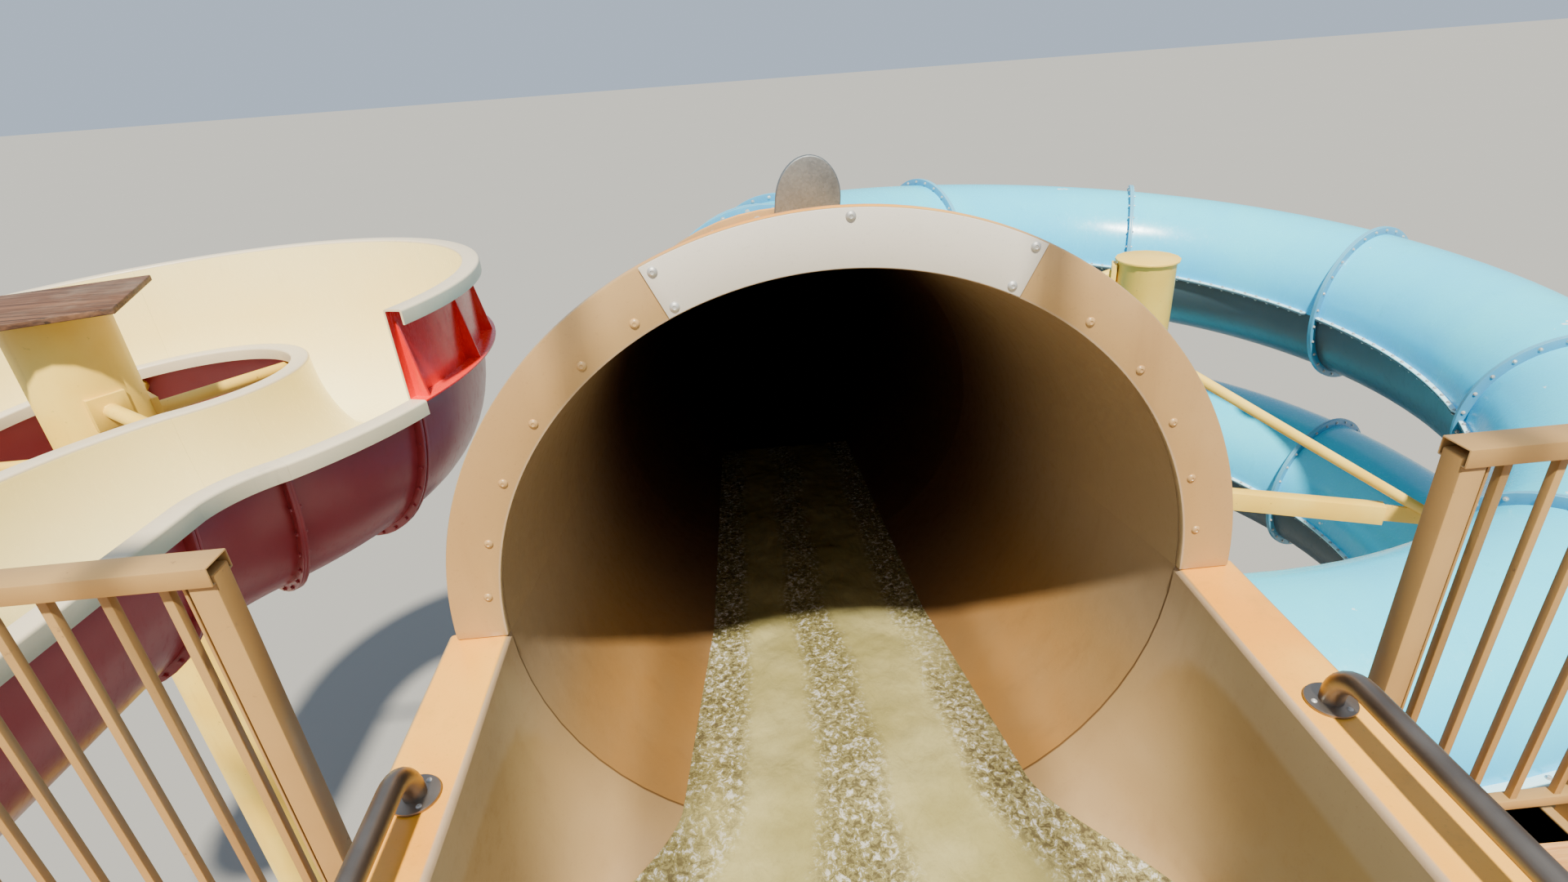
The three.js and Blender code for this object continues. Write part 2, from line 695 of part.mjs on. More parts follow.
// A flight drawn going down along -Y from its top edge at the origin, with its guards.
function flight() {
  const run = (stairRisers - 1) * going;
  const rise = (stairRisers - 1) * riser;
  const half = stairWidth / 2;
  const stringerThickness = 50;
  const stringerDepth = 220;
  const stringerDrop = 240;
  const treadThickness = 45;
  const slope = riser / going;
  const x = half - stringerThickness / 2;
  const pieces = [];
  for (const side of [-1, 1]) {
    const foot = new THREE.Vector3(side * x, -run - 300, -rise - 300 * slope - stringerDrop);
    pieces.push(bar(new THREE.Vector3(side * x, -75, -75 * slope - stringerDrop), foot,
      stringerThickness, stringerDepth));
    pieces.push(...threeRailGuard(new THREE.Vector3(side * x, -going * 0.5, -going * 0.5 * slope - 60),
      new THREE.Vector3(side * x, -run + 40, -rise + 40 * slope - 60), 4));
  }
  for (let i = 0; i < stairRisers - 1; i += 1) {
    const z = -riser * (i + 1);
    pieces.push(block(-half + 30, half - 30, -going * (i + 1) - 20, -going * i, z - treadThickness, z));
  }
  const headPlate = 14;
  pieces.push(block(-half, half, -headPlate, 0, -riser - 180, 0));
  const floorZ = -rise - riser + jointGap;
  const below = block(-stairWidth, stairWidth, -run - 1000, 0, floorZ - 1000, floorZ);
  return cut(join(pieces), [below]);
}

function stair() {
  const flightGeometry = flight();
  place('stair_upper_flight', flightGeometry, tanSteel, new THREE.Vector3(upperLaneX, stairTopY, deckZ));
  place('stair_lower_flight', flightGeometry, tanSteel,
    new THREE.Vector3(lowerLaneX, landingFrontY, landingZ), Math.PI);
  const left = lowerLaneX - stairWidth / 2;
  const right = upperLaneX + stairWidth / 2;
  const backY = landingFrontY - landingDepth;
  const deckHigh = 50;
  place('stair_landing', block(left, right, backY, landingFrontY - jointGap, landingZ - deckHigh, landingZ),
    deckTimber);
  const legs = [];
  const frontLine = landingFrontY - 180;
  for (const x of [left + 80, right - 80]) {
    for (const y of [backY + 80, frontLine]) {
      legs.push(block(x - 70, x + 70, y - 70, y + 70, groundZ, landingZ - deckHigh - jointGap));
    }
  }
  const beamTop = landingZ - deckHigh - jointGap;
  for (const y of [backY + 80, frontLine]) {
    legs.push(block(left + 20, right - 20, y - 40, y + 40, beamTop - 180, beamTop));
    legs.push(block(left + 80, right - 80, y - 30, y + 30, groundZ + 500, groundZ + 640));
  }
  for (const x of [left + 80, right - 80]) {
    legs.push(block(x - 40, x + 40, backY + 80, frontLine, beamTop - 180, beamTop));
    legs.push(block(x - 30, x + 30, backY + 80, frontLine, groundZ + 500, groundZ + 640));
    legs.push(bar(new THREE.Vector3(x, backY + 80, groundZ + 600), new THREE.Vector3(x, frontLine,
      beamTop - 150), 50, 100));
  }
  const ends = [new THREE.Vector3(left + 80, backY + 80, groundZ + 600),
    new THREE.Vector3(right - 80, backY + 80, beamTop - 150)];
  legs.push(bar(ends[0], ends[1], 50, 100));
  place('landing_frame', join(legs), brownTimber);
  const inset = 32;
  const guardZ = landingZ + jointGap;
  const corner = (x, y) => new THREE.Vector3(x, y, guardZ);
  const frontEnd = landingFrontY - 300;
  const guard = [
    ...threeRailGuard(corner(left + inset, backY + inset), corner(right - inset, backY + inset), 2),
    ...threeRailGuard(corner(left + inset, backY + inset), corner(left + inset, frontEnd), 1),
    ...threeRailGuard(corner(right - inset, backY + inset), corner(right - inset, frontEnd), 1),
  ];
  place('landing_railing', join(guard), tanSteel);
}

const flumeFacets = 8;

// Flume cross-section. Looking along the run, +x is the left side and y = 0 is the rim. A tall
// wall is bolted on at the rim, which goes on outside it as a ledge.
function troughOutline(halfWidth, depth, count) {
  const points = [];
  for (let i = 0; i <= count; i += 1) {
    const angle = Math.PI + Math.PI * i / count;
    points.push(new THREE.Vector2(halfWidth * Math.cos(angle), depth * Math.sin(angle)));
  }
  return points;
}

function flumeShape(rightWall) {
  const count = flumeFacets;
  const lip = flumeLip;
  const rimTop = flumeRimTop;
  const sheet = flumeSheet;
  const edge = flumeHalf + flumeRim;
  const outer = troughOutline(flumeHalf + shellWall, flumeDepth + shellWall, count);
  const ledge = rightWall > 0 ? [
    new THREE.Vector2(-flumeHalf - shellWall, rimTop - sheet),
    new THREE.Vector2(-edge, rimTop - sheet),
    new THREE.Vector2(-edge, rimTop),
    new THREE.Vector2(-flumeHalf - shellWall, rimTop),
  ] : [];
  return new THREE.Shape([
    new THREE.Vector2(-flumeHalf, rightWall + rimTop),
    ...troughOutline(flumeHalf, flumeDepth, count),
    new THREE.Vector2(flumeHalf, rimTop),
    new THREE.Vector2(edge, rimTop),
    new THREE.Vector2(edge, rimTop - lip),
    new THREE.Vector2(edge - sheet, rimTop - lip),
    new THREE.Vector2(edge - sheet, rimTop - sheet),
    new THREE.Vector2(flumeHalf + shellWall, rimTop - sheet),
    ...outer.reverse(),
    ...ledge,
    new THREE.Vector2(-flumeHalf - shellWall, rightWall + rimTop - sheet),
    new THREE.Vector2(-edge + sheet, rightWall + rimTop - sheet),
    new THREE.Vector2(-edge + sheet, rightWall + rimTop - lip),
    new THREE.Vector2(-edge, rightWall + rimTop - lip),
    new THREE.Vector2(-edge, rightWall + rimTop),
  ]);
}

// The bolted flange of a flume joint: a U-shaped plate that starts in the middle of the wall.
function flumeFlangeShape(rightWall) {
  const count = flumeFacets;
  const grow = flumeFlangeGrow;
  const outer = troughOutline(flumeHalf + grow, flumeDepth + grow, count);
  return new THREE.Shape([
    new THREE.Vector2(-flumeHalf - shellWall / 2, rightWall + 20),
    ...troughOutline(flumeHalf + shellWall / 2, flumeDepth + shellWall / 2, count),
    new THREE.Vector2(flumeHalf + shellWall / 2, 20),
    new THREE.Vector2(flumeHalf + grow, 20),
    ...outer.reverse(),
    new THREE.Vector2(-flumeHalf - grow, rightWall + 20),
  ]);
}

// A three-cornered plate between a tall wall and its ledge.
function gussetShape(wall) {
  const inner = -flumeHalf - shellWall / 2;
  return new THREE.Shape([
    new THREE.Vector2(inner, flumeRimTop - flumeSheet / 2),
    new THREE.Vector2(inner, wall - flumeLip + flumeRimTop),
    new THREE.Vector2(-flumeHalf - flumeRim + flumeSheet, flumeRimTop - flumeSheet / 2),
  ]);
}

function gussets(run, wall) {
  const plates = [];
  for (let i = 0; i < gussetsPerTallTurn; i += 1) {
    const at = flangeThickness + 20 + run.runLength * i / gussetsPerTallTurn;
    plates.push(sweep(gussetShape(wall), run.part(at, at + gussetThickness), 1));
  }
  return plates;
}

function flumeLength(run, rightWall) {
  const length = run.runLength;
  const setBack = 2;
  const flange = flumeFlangeShape(rightWall);
  const braces = rightWall > 0 ? gussets(run, rightWall) : [];
  return join([
    sweep(flumeShape(rightWall), run.part(jointGap / 2, length - jointGap / 2),
      stepsFor(run, flumeSteps45)),
    sweep(flange, run.part(setBack, flangeThickness), 1),
    sweep(flange, run.part(length - flangeThickness, length - setBack), 1),
    ...braces,
  ]);
}

// The first length is closed below the deck by an end wall.
function flumeStartLength(run) {
  const wallTop = deckZ - flumeStartZ;
  const lower = troughOutline(flumeHalf + shellWall / 2, flumeDepth + shellWall / 2, flumeFacets)
    .filter((point) => point.y < wallTop);
  const reach = (flumeHalf + shellWall / 2) * Math.sqrt(1 - (wallTop / (flumeDepth + shellWall / 2)) ** 2);
  const wall = new THREE.Shape([
    new THREE.Vector2(-reach + 4, wallTop), ...lower, new THREE.Vector2(reach - 4, wallTop)]);
  return join([flumeLength(run, 0), sweep(wall, run.part(1, shellWall), 1)]);
}

function openFlume() {
  const start = new THREE.Vector3(flumeStartX, deckFrontY + jointGap, flumeStartZ);
  const first = new Run(flumeStraight, 0, flumeFall);
  const bend = (radius, turn) => new Run(arcLength(radius, turn), turn, flumeFall);
  const right = bend(rightBendRadius, rightBendTurn);
  const low = bend(spiralRadius, lowTurn);
  const tall = bend(spiralRadius, tallTurn);
  const end = new Run(flumeRunOut, 0, flumeFall);
  const tallGeometry = flumeLength(tall, tallWall);
  const lengths = [
    { name: 'flume_start_length', run: first, geometry: flumeStartLength(first), material: redShell },
    { name: 'flume_right_bend', run: right, geometry: flumeLength(right, 0), material: redShell },
    { name: 'flume_low_turn', run: low, geometry: flumeLength(low, 0), material: redShell },
  ];
  for (let i = 1; i <= tallTurnCount; i += 1) {
    lengths.push({ name: `flume_tall_turn_${i}`, run: tall, geometry: tallGeometry, material: redShell });
  }
  lengths.push({ name: 'flume_end_length', run: end, geometry: flumeLength(end, 0), material: redShell });
  return chain(start, 0, lengths);
}

// Column in the middle of the flume's left turn, with its square cap plate and one arm to
// each joint of the turn but the low one.
const flumeColumnRadius = 300;
const flumeColumnTopZ = -190;
const flumeArmRadius = 50;
const flumeArmDrop = 125;

// Half the width over a flume flange, at a depth within its uppermost facet.
function flangeHalfWidth(below) {
  const facet = Math.PI / flumeFacets;
  const half = flumeHalf + flumeFlangeGrow;
  const facetDepth = (flumeDepth + flumeFlangeGrow) * Math.sin(facet);
  return half - half * (1 - Math.cos(facet)) * below / facetDepth;
}

function flumeSupport(joints) {
  const turnStart = joints[2];
  const toLeft = new THREE.Vector3(-1, 0, 0).applyAxisAngle(UP, turnStart.heading);
  const centre = turnStart.position.clone().addScaledVector(toLeft, spiralRadius);
  const base = new THREE.Vector3(centre.x, centre.y, groundZ);
  const height = flumeColumnTopZ - groundZ;
  const sides = 18;
  const foot = new THREE.CylinderGeometry(480, 480, 30, 16).rotateX(Math.PI / 2).translate(0, 0, 15);
  const shaft = new THREE.CylinderGeometry(flumeColumnRadius, flumeColumnRadius, height, sides)
    .rotateX(Math.PI / 2).translate(0, 0, height / 2);
  place('flume_column', join([foot, shaft]), creamSteel, base);
  const capHalf = 470;
  place('flume_column_cap', block(-capHalf, capHalf, -capHalf, capHalf, 0, 40), brownTimber,
    new THREE.Vector3(centre.x, centre.y, flumeColumnTopZ + jointGap), rad(20));
  const reach = spiralRadius - flangeHalfWidth(flumeArmDrop - flumeArmRadius) - 2 * jointGap;
  const clear = flumeColumnRadius + jointGap;
  joints.filter((joint, i) => i >= 2 && i !== 3 && i < joints.length - 1).forEach((joint, i) => {
    const bearing = joint.heading;
    const arm = pipe(new THREE.Vector3(flumeColumnRadius / 2, 0, 0), new THREE.Vector3(reach, 0, 0),
      flumeArmRadius);
    const plate = block(flumeColumnRadius / 2, flumeColumnRadius + 25, -110, 110, -110, 110);
    const column = new THREE.CylinderGeometry(clear, clear, 2 * flumeColumnRadius, sides)
      .rotateX(Math.PI / 2).rotateZ(-bearing);
    place(`flume_arm_${i + 1}`, cut(join([arm, plate]), [column]), creamSteel,
      new THREE.Vector3(centre.x, centre.y, joint.position.z - flumeArmDrop), bearing);
  });
}

tubeSlide();
coilColumn();
coilBrackets();
startTub();
entryCollar();
signPlate();
jointLug();
grabRail('grab_rail_left', -1);
grabRail('grab_rail_right', 1);
deck();
towerPosts();
headFrame();
bracing();
deckRailings();
stair();
flumeSupport(openFlume());

// The middle of the footprint on the ground becomes the origin.
group.updateMatrixWorld(true);
const extent = new THREE.Box3().setFromObject(group, true);
group.position.set(-(extent.min.x + extent.max.x) / 2, -(extent.min.y + extent.max.y) / 2, -extent.min.z);
group.updateMatrixWorld(true);

export default group;
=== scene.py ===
from math import atan2, copysign, cos, pi, radians, sin, sqrt

import bmesh
import bpy
from mathutils import Matrix, Vector, noise


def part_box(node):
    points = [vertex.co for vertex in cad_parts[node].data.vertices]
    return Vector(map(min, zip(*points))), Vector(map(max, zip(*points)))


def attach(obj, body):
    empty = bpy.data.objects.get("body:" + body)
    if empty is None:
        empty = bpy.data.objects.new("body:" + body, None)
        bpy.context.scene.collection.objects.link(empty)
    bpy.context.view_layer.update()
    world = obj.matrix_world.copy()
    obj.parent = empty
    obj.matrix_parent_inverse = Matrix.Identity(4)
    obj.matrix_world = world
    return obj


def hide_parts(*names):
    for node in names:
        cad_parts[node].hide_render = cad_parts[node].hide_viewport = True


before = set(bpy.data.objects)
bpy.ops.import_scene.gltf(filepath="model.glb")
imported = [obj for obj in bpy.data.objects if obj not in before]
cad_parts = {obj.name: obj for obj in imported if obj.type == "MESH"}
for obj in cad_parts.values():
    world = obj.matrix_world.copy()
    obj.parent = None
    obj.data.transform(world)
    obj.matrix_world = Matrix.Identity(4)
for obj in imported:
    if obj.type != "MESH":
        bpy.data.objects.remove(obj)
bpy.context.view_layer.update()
bpy.ops.object.select_all(action="DESELECT")

# Driving dimensions in metres, as in the part's source
GAP = 0.0003
BORE = 0.686
WALL = 0.014
TUBE = BORE + WALL
FLANGE = 0.770
FLANGE_THICK = 0.022
SEAM_REACH = 0.745
EAR_CLEAR = 0.004
EAR_SHORT = 0.090
SHELL_SPLIT = 0.0004
SHELL_PLAY = 0.001
TURN_PER_JOINT = 45
TUBE_LENGTHS = [("first", 1.610), ("second", 2.400), ("third", 1.030)]
STRAIGHT_FALL = 0.17
COIL_FALL = 0.105
COIL_RADIUS = 3.150
ENTRY_TURN = -22.5
QUARTERS = 6
DECK = -0.760
DECK_HEIGHT = 6.300
PLANK = 0.040
JOIST = 0.200
BRACE_FOOT = 0.500
BRACE_DROP = 0.650
POST = 0.150
POST_XS = [-4.400, -1.990, 1.810]
FRONT_Y = -0.130
BACK_Y = -3.900
RAIL_TOP = 0.310
RAIL_HEIGHT = RAIL_TOP - DECK
TUB_LENGTH = 2.400
TUB_FLOOR = -0.620
TUB_BLEND = 0.450
TUB_SHEET = 0.012
TUB_FEET = [-0.230, -1.250, -2.250]
RIM_INNER = 0.680
RIM_OUTER = 0.812
RIM_LIP = 0.070
COLLAR_OUTER = 0.789
COLLAR_THICK = 0.020
GRAB_X = 0.745
GRAB_FRONT = -0.400
GRAB_BACK = -1.300
GRAB_HEIGHT = 0.075
GRAB_RADIUS = 0.019
FLUME_HALF = 0.590
FLUME_DEPTH = 0.900
FLUME_RIM = 0.120
FLUME_RIM_TOP = 0.030
FLUME_LIP = 0.090
FLUME_SHEET = 0.020
FLUME_SKIN = 0.012
FLUME_FLANGE = 0.062
FLUME_JOINT = 0.020
TALL_WALL = 0.547
FLUME_FALL = 0.059
FLUME_START = Vector((-3.340, -0.0497, -0.540))
FLUME_STRAIGHT = 1.970
FLUME_RUN_OUT = 1.900
RIGHT_BEND_RADIUS = 1.450
RIGHT_BEND_TURN = -37.5
SPIRAL_RADIUS = 1.895
LOW_TURN = 20
TALL_TURN = 65.8
TALL_TURNS = 3
GUSSETS_PER_TURN = 4
GUSSET_THICK = 0.014

# How finely the round pieces are drawn
CIRCLE_SIDES = 64
FLUME_SIDES = 56

# The flume's finishes after the cream one of its inside
OUTSIDE, RIMS, TALL_OUTSIDE = 1, 2, 3

# The centre of the tube's mouth, from the frame
tube_low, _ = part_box("tube_first_length")
collar_low, collar_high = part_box("entry_collar")
MOUTH = Vector(((collar_low.x + collar_high.x) / 2, tube_low.y - GAP / 2, collar_low.z))
TO_MOUTH = Matrix.Translation(MOUTH)

# The camera's place, seen from the mouth's centre
EYE = Vector((-0.1566, -1.3501, 1.0374))


# Small tools for modelling

def only(*objects):
    """Selects these objects and no other, and makes the first one active."""
    bpy.ops.object.select_all(action="DESELECT")
    for obj in objects:
        obj.select_set(True)
    bpy.context.view_layer.objects.active = objects[0]


def settle():
    """The primitive that was just added, with its place, turn and size put into its mesh."""
    obj = bpy.context.object
    only(obj)
    bpy.ops.object.transform_apply(location=True, rotation=True, scale=True)
    return obj


def move(obj, matrix):
    obj.data.transform(matrix)
    obj.data.update()
    return obj


def link(obj):
    bpy.context.scene.collection.objects.link(obj)
    return obj


def copy_of(obj, matrix=Matrix.Identity(4)):
    twin = obj.copy()
    twin.data = obj.data.copy()
    return move(link(twin), matrix)


def discard(*objects):
    for obj in objects:
        bpy.data.objects.remove(obj)


def offset(x, y, z):
    return Matrix.Translation((x, y, z))


def rotation(angle, axis):
    return Matrix.Rotation(angle, 4, axis)


class Edit:
    """Edit mode on one object, where faces, edges and vertices are picked by a test."""

    def __init__(self, obj):
        self.obj = obj

    def __enter__(self):
        only(self.obj)
        bpy.ops.object.mode_set(mode="EDIT")
        return self

    def __exit__(self, *_):
        bpy.ops.object.mode_set(mode="OBJECT")

    def pick(self, kind="VERT", test=lambda part: True):
        bpy.ops.mesh.select_mode(type=kind)
        bpy.ops.mesh.select_all(action="DESELECT")
        mesh = bmesh.from_edit_mesh(self.obj.data)
        for part in {"VERT": mesh.verts, "EDGE": mesh.edges, "FACE": mesh.faces}[kind]:
            if test(part):
                part.select_set(True)
        mesh.select_flush_mode()
        bmesh.update_edit_mesh(self.obj.data)
        return self

    def extrude(self, *steps):
        """Extrudes what is picked, once for each step, or in place."""
        for step in steps or [(0, 0, 0)]:
            bpy.ops.mesh.extrude_region_move(TRANSFORM_OT_translate={"value": step})
        return self

    def resize(self, factors, about=(0, 0, 0)):
        bpy.ops.transform.resize(value=factors, center_override=about)
        return self

    def place(self, formula):
        """Moves each vertex to where the formula puts it."""
        mesh = bmesh.from_edit_mesh(self.obj.data)
        for vertex in mesh.verts:
            vertex.co = formula(vertex.co)
        bmesh.update_edit_mesh(self.obj.data)
        return self

    def remove(self, test):
        """Deletes the vertices that the test picks."""
        self.pick("VERT", test)
        bpy.ops.mesh.delete(type="VERT")

    def fill(self, test=lambda part: True):
        """Closes the loop of picked edges with a face."""
        self.pick("EDGE", test)
        bpy.ops.mesh.edge_face_add()

    def outward(self):
        self.pick("FACE")
        bpy.ops.mesh.normals_make_consistent(inside=False)


def modify(obj, kind, **settings):
    """Adds a modifier and applies it."""
    modifier = obj.modifiers.new(kind.title(), kind)
    for name, value in settings.items():
        setattr(modifier, name, value)
    only(obj)
    bpy.ops.object.modifier_apply(modifier=modifier.name)
    return obj


def bevel(obj, width, segments=2, angle=40):
    return modify(obj, "BEVEL", width=width, segments=segments, limit_method="ANGLE",
                  angle_limit=radians(angle))


def smooth(obj, angle=35):
    only(obj)
    bpy.ops.object.shade_smooth_by_angle(angle=radians(angle))
    return obj


def flip(obj):
    """Turns every face over."""
    with Edit(obj) as edit:
        edit.pick("FACE")
        bpy.ops.mesh.flip_normals()


def dress(obj, *finishes):
    """Gives the object these finishes, the first one on every face that has no other."""
    obj.data.materials.clear()
    for finish in finishes:
        obj.data.materials.append(finish)
    return obj


def rounded(obj, finish, edge, segments=2, angle=40):
    """The object in this finish, with rounded edges and smooth faces."""
    return smooth(bevel(dress(obj, finish), edge, segments, angle))


def join(parts):
    only(*parts)
    if len(parts) > 1:
        bpy.ops.object.join()
    return parts[0]


def deliver(obj, name, slot, *stands_for):
    """Names the finished piece, attaches it to the root body, and hides the nodes it stands for."""
    obj.name = name
    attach(obj, "root")
    if stands_for:
        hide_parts(*stands_for)
    return obj


def box(x0, x1, y0, y1, z0, z1):
    bpy.ops.mesh.primitive_cube_add(
        size=1, location=((x0 + x1) / 2, (y0 + y1) / 2, (z0 + z1) / 2),
        scale=(x1 - x0, y1 - y0, z1 - z0))
    return settle()


def bar(finish, edge, *bounds, segments=2):
    """A box with rounded edges."""
    return bevel(dress(box(*bounds), finish), edge, segments)


def cylinder(sides, radius, depth, place):
    bpy.ops.mesh.primitive_cylinder_add(vertices=sides, radius=radius, depth=depth, location=place)
    return settle()


def hoop(sides, radius, place=(0, 0, 0), upright=True):
    """A circle as a wire, standing across y or lying flat."""
    bpy.ops.mesh.primitive_circle_add(
        vertices=sides, radius=radius, fill_type="NOTHING", location=place,
        rotation=(pi / 2 if upright else 0, 0, 0))
    return settle()


def grid(across, along, shape):
    """A sheet of so many faces each way, whose vertices the shape puts in place."""
    bpy.ops.mesh.primitive_grid_add(x_subdivisions=across, y_subdivisions=along, size=1)
    obj = settle()
    with Edit(obj) as edit:
        edit.place(shape)
    return obj


def arc(half_width, half_height, sides, keep):
    """Half of an upright ellipse as a wire, the upper half for keep 1 and the lower for -1."""
    wire = hoop(sides, 1)
    with Edit(wire) as edit:
        edit.pick().resize((half_width, 1, half_height))
        edit.remove(lambda v: v.co.z * keep < -1e-5)
    return wire


def drawn(sheet, step):
    """Draws a flat sheet out into a closed plate."""
    with Edit(sheet) as edit:
        edit.pick("FACE").extrude(step)
        edit.outward()
    return sheet


class Run:
    """One length of a slide, straight or turning evenly to the left, falling evenly."""

    def __init__(self, start, heading, length, turn, fall):
        self.start, self.heading = Vector(start), heading
        self.length, self.turn, self.fall = length, turn, fall

    def matrix(self, s=0.0):
        """From this run's own cross-section at s, with x to the right and y ahead."""
        x, y = 0, s
        if self.turn:
            radius = self.length / self.turn
            x, y = -radius * (1 - cos(s / radius)), radius * sin(s / radius)
        return (offset(*self.start) @ rotation(self.heading, "Z")
                @ offset(x, y, -self.fall * s) @ rotation(self.turn * s / self.length, "Z"))

    def along(self, s):
        """The cross-section at s, as seen from this run's start."""
        return self.matrix().inverted() @ self.matrix(s)

    def follow(self, length, turn, fall):
        """The next run, from this one's end."""
        end = self.matrix(self.length).translation
        return Run(end, self.heading + self.turn, length, turn, fall)

    def bend(self, obj):
        """Bends and drops a mesh that was drawn straight along y."""
        for vertex in obj.data.vertices:
            x, y, z = vertex.co
            vertex.co = self.along(y) @ Vector((x, 0, z))
        obj.data.update()
        return obj


def chain(start, heading, steps):
    """Runs one after another; a step is a length, a turn in degrees and a fall."""
    runs = []
    for length, turn, fall in steps:
        turn = radians(turn)
        runs.append(runs[-1].follow(length, turn, fall) if runs
                    else Run(start, heading, length, turn, fall))
    return runs


def turned(radius, degrees, fall):
    return (radius * radians(abs(degrees)), degrees, fall)


def sweep(wire, run, start, end, steps):
    """Draws a wire cross-section out along a run, from start to end, as an open sheet."""
    with Edit(wire) as edit:
        edit.pick()
        if run.turn:
            radius = run.length / run.turn
            bpy.ops.mesh.spin(steps=steps, angle=-run.turn * (end - start) / run.length,
                              center=(-radius, 0, 0), axis=(0, 0, 1))
            turn = offset(-radius, 0, 0) @ rotation(start / radius, "Z") @ offset(radius, 0, 0)
            edit.place(lambda co: turn @ co)

            def drop(co):
                angle = atan2(co.y, (co.x + radius) * copysign(1, radius))
                return Vector((co.x, co.y, co.z - run.fall * angle * abs(radius)))
            edit.place(drop)
        else:
            edit.place(lambda co: co + Vector((0, start, 0)))
            edit.pick().extrude(*[(0, (end - start) / steps, 0)] * steps)
            edit.place(lambda co: co - Vector((0, 0, run.fall * co.y)))
        edit.outward()
    return wire


def face_away(obj, run):
    """Turns the sheet's faces away from the run's own centre line."""
    middle = max(obj.data.polygons, key=lambda face: face.area)
    line = [run.along(run.length * i / 60).translation for i in range(61)]
    nearest = min(line, key=lambda point: (point - middle.center).length)
    if middle.normal.dot(middle.center - nearest) < 0:
        flip(obj)


def face_up(sheet):
    """Turns the sheet's faces up, where its lowest level face looks down."""
    level = [face for face in sheet.data.polygons if face.normal.z ** 2 >= 0.5]
    if min(level, key=lambda face: face.center.z).normal.z < 0:
        flip(sheet)


def thicken(obj, thickness, inner=0, rim=0):
    return modify(obj, "SOLIDIFY", thickness=thickness, offset=-1, use_even_offset=True,
                  material_offset=inner, material_offset_rim=rim)


def spread(base, matrices):
    """One mesh with a copy of the base at each matrix."""
    mesh = bmesh.new()
    for matrix in matrices:
        before = len(mesh.verts)
        mesh.from_mesh(base.data)
        mesh.verts.ensure_lookup_table()
        bmesh.ops.transform(mesh, matrix=matrix, verts=mesh.verts[before:])
    result = copy_of(base)
    mesh.to_mesh(result.data)
    mesh.free()
    return result


# Finishes

class Signal:
    """One socket of a finish; arithmetic with it adds Math nodes."""

    def __init__(self, finish, socket):
        self.finish, self.socket = finish, socket

    def maths(self, operation, first, second=0.0):
        return self.finish.node("Math", {0: first, 1: second}, operation=operation)

    def __add__(self, other):
        return self.maths("ADD", self, other)

    def __radd__(self, other):
        return self.maths("ADD", other, self)

    def __sub__(self, other):
        return self.maths("SUBTRACT", self, other)

    def __rsub__(self, other):
        return self.maths("SUBTRACT", other, self)

    def __mul__(self, other):
        return self.maths("MULTIPLY", self, other)

    def __rmul__(self, other):
        return self.maths("MULTIPLY", other, self)

    def __pow__(self, other):
        return self.maths("POWER", self, other)

    def __abs__(self):
        return self.maths("ABSOLUTE", self)


def colour(text):
    """A linear colour from a six-figure hexadecimal one."""
    channels = [int(text[i:i + 2], 16) / 255 for i in (0, 2, 4)]
    linear = [c / 12.92 if c <= 0.04045 else ((c + 0.055) / 1.055) ** 2.4 for c in channels]
    return (*linear, 1.0)


class Finish:
    """A material under construction: a Principled shader and what feeds it."""

    def __init__(self, name, **constants):
        self.material = bpy.data.materials.new(name)
        self.material.use_nodes = True
        self.tree = self.material.node_tree
        self.shader = self.tree.nodes["Principled BSDF"]
        for socket, value in constants.items():
            self.shader.inputs[socket.replace("_", " ")].default_value = value
        self.where = self.node("TexCoord", {}, "Object")

    def node(self, kind, inputs, output=0, **settings):
        node = self.tree.nodes.new("ShaderNode" + kind)
        for name, value in settings.items():
            setattr(node, name, value)
        for key, value in inputs.items():
            self.feed(node.inputs[key], value)
        return Signal(self, node.outputs[output])

    def feed(self, socket, value):
        """Links a signal to a socket, or sets its number, its vector or its colour by name."""
        if isinstance(value, Signal):
            self.tree.links.new(value.socket, socket)
        else:
            socket.default_value = colour(value) if isinstance(value, str) else value

    def give(self, **inputs):
        for name, value in inputs.items():
            self.feed(self.shader.inputs[name.replace("_", " ")], value)

    def stretched(self, scale):
        return self.node("Mapping", {"Vector": self.where, "Scale": scale})

    def cloud(self, scale, detail=3.0, stretch=(1, 1, 1), roughness=0.5, distortion=0.0):
        return self.node("TexNoise", {
            "Vector": self.stretched(stretch), "Scale": scale, "Detail": detail,
            "Roughness": roughness, "Distortion": distortion})

    def ramp(self, value, low, high, to_low=0.0, to_high=1.0):
        return self.node("MapRange", {"Value": value, "From Min": low, "From Max": high,
                                      "To Min": to_low, "To Max": to_high},
                         interpolation_type="SMOOTHSTEP")

    def patches(self, scale, detail, low, high, **more):
        """Where a cloud is thick, from 0 to 1."""
        return self.ramp(self.cloud(scale, detail, **more), low, high)

    def blend(self, share, first, second):
        return self.node("Mix", {0: share, 6: first, 7: second}, 2, data_type="RGBA")

    def part(self, vector, axis):
        return self.node("SeparateXYZ", {"Vector": vector}, axis)

    def axis(self, name):
        return self.part(self.where, name)

    def facing(self, name):
        return self.part(self.node("NewGeometry", {}, "Normal"), name)

    def bump(self, height, distance, strength=1.0):
        return self.node("Bump", {"Height": height, "Distance": distance, "Strength": strength})


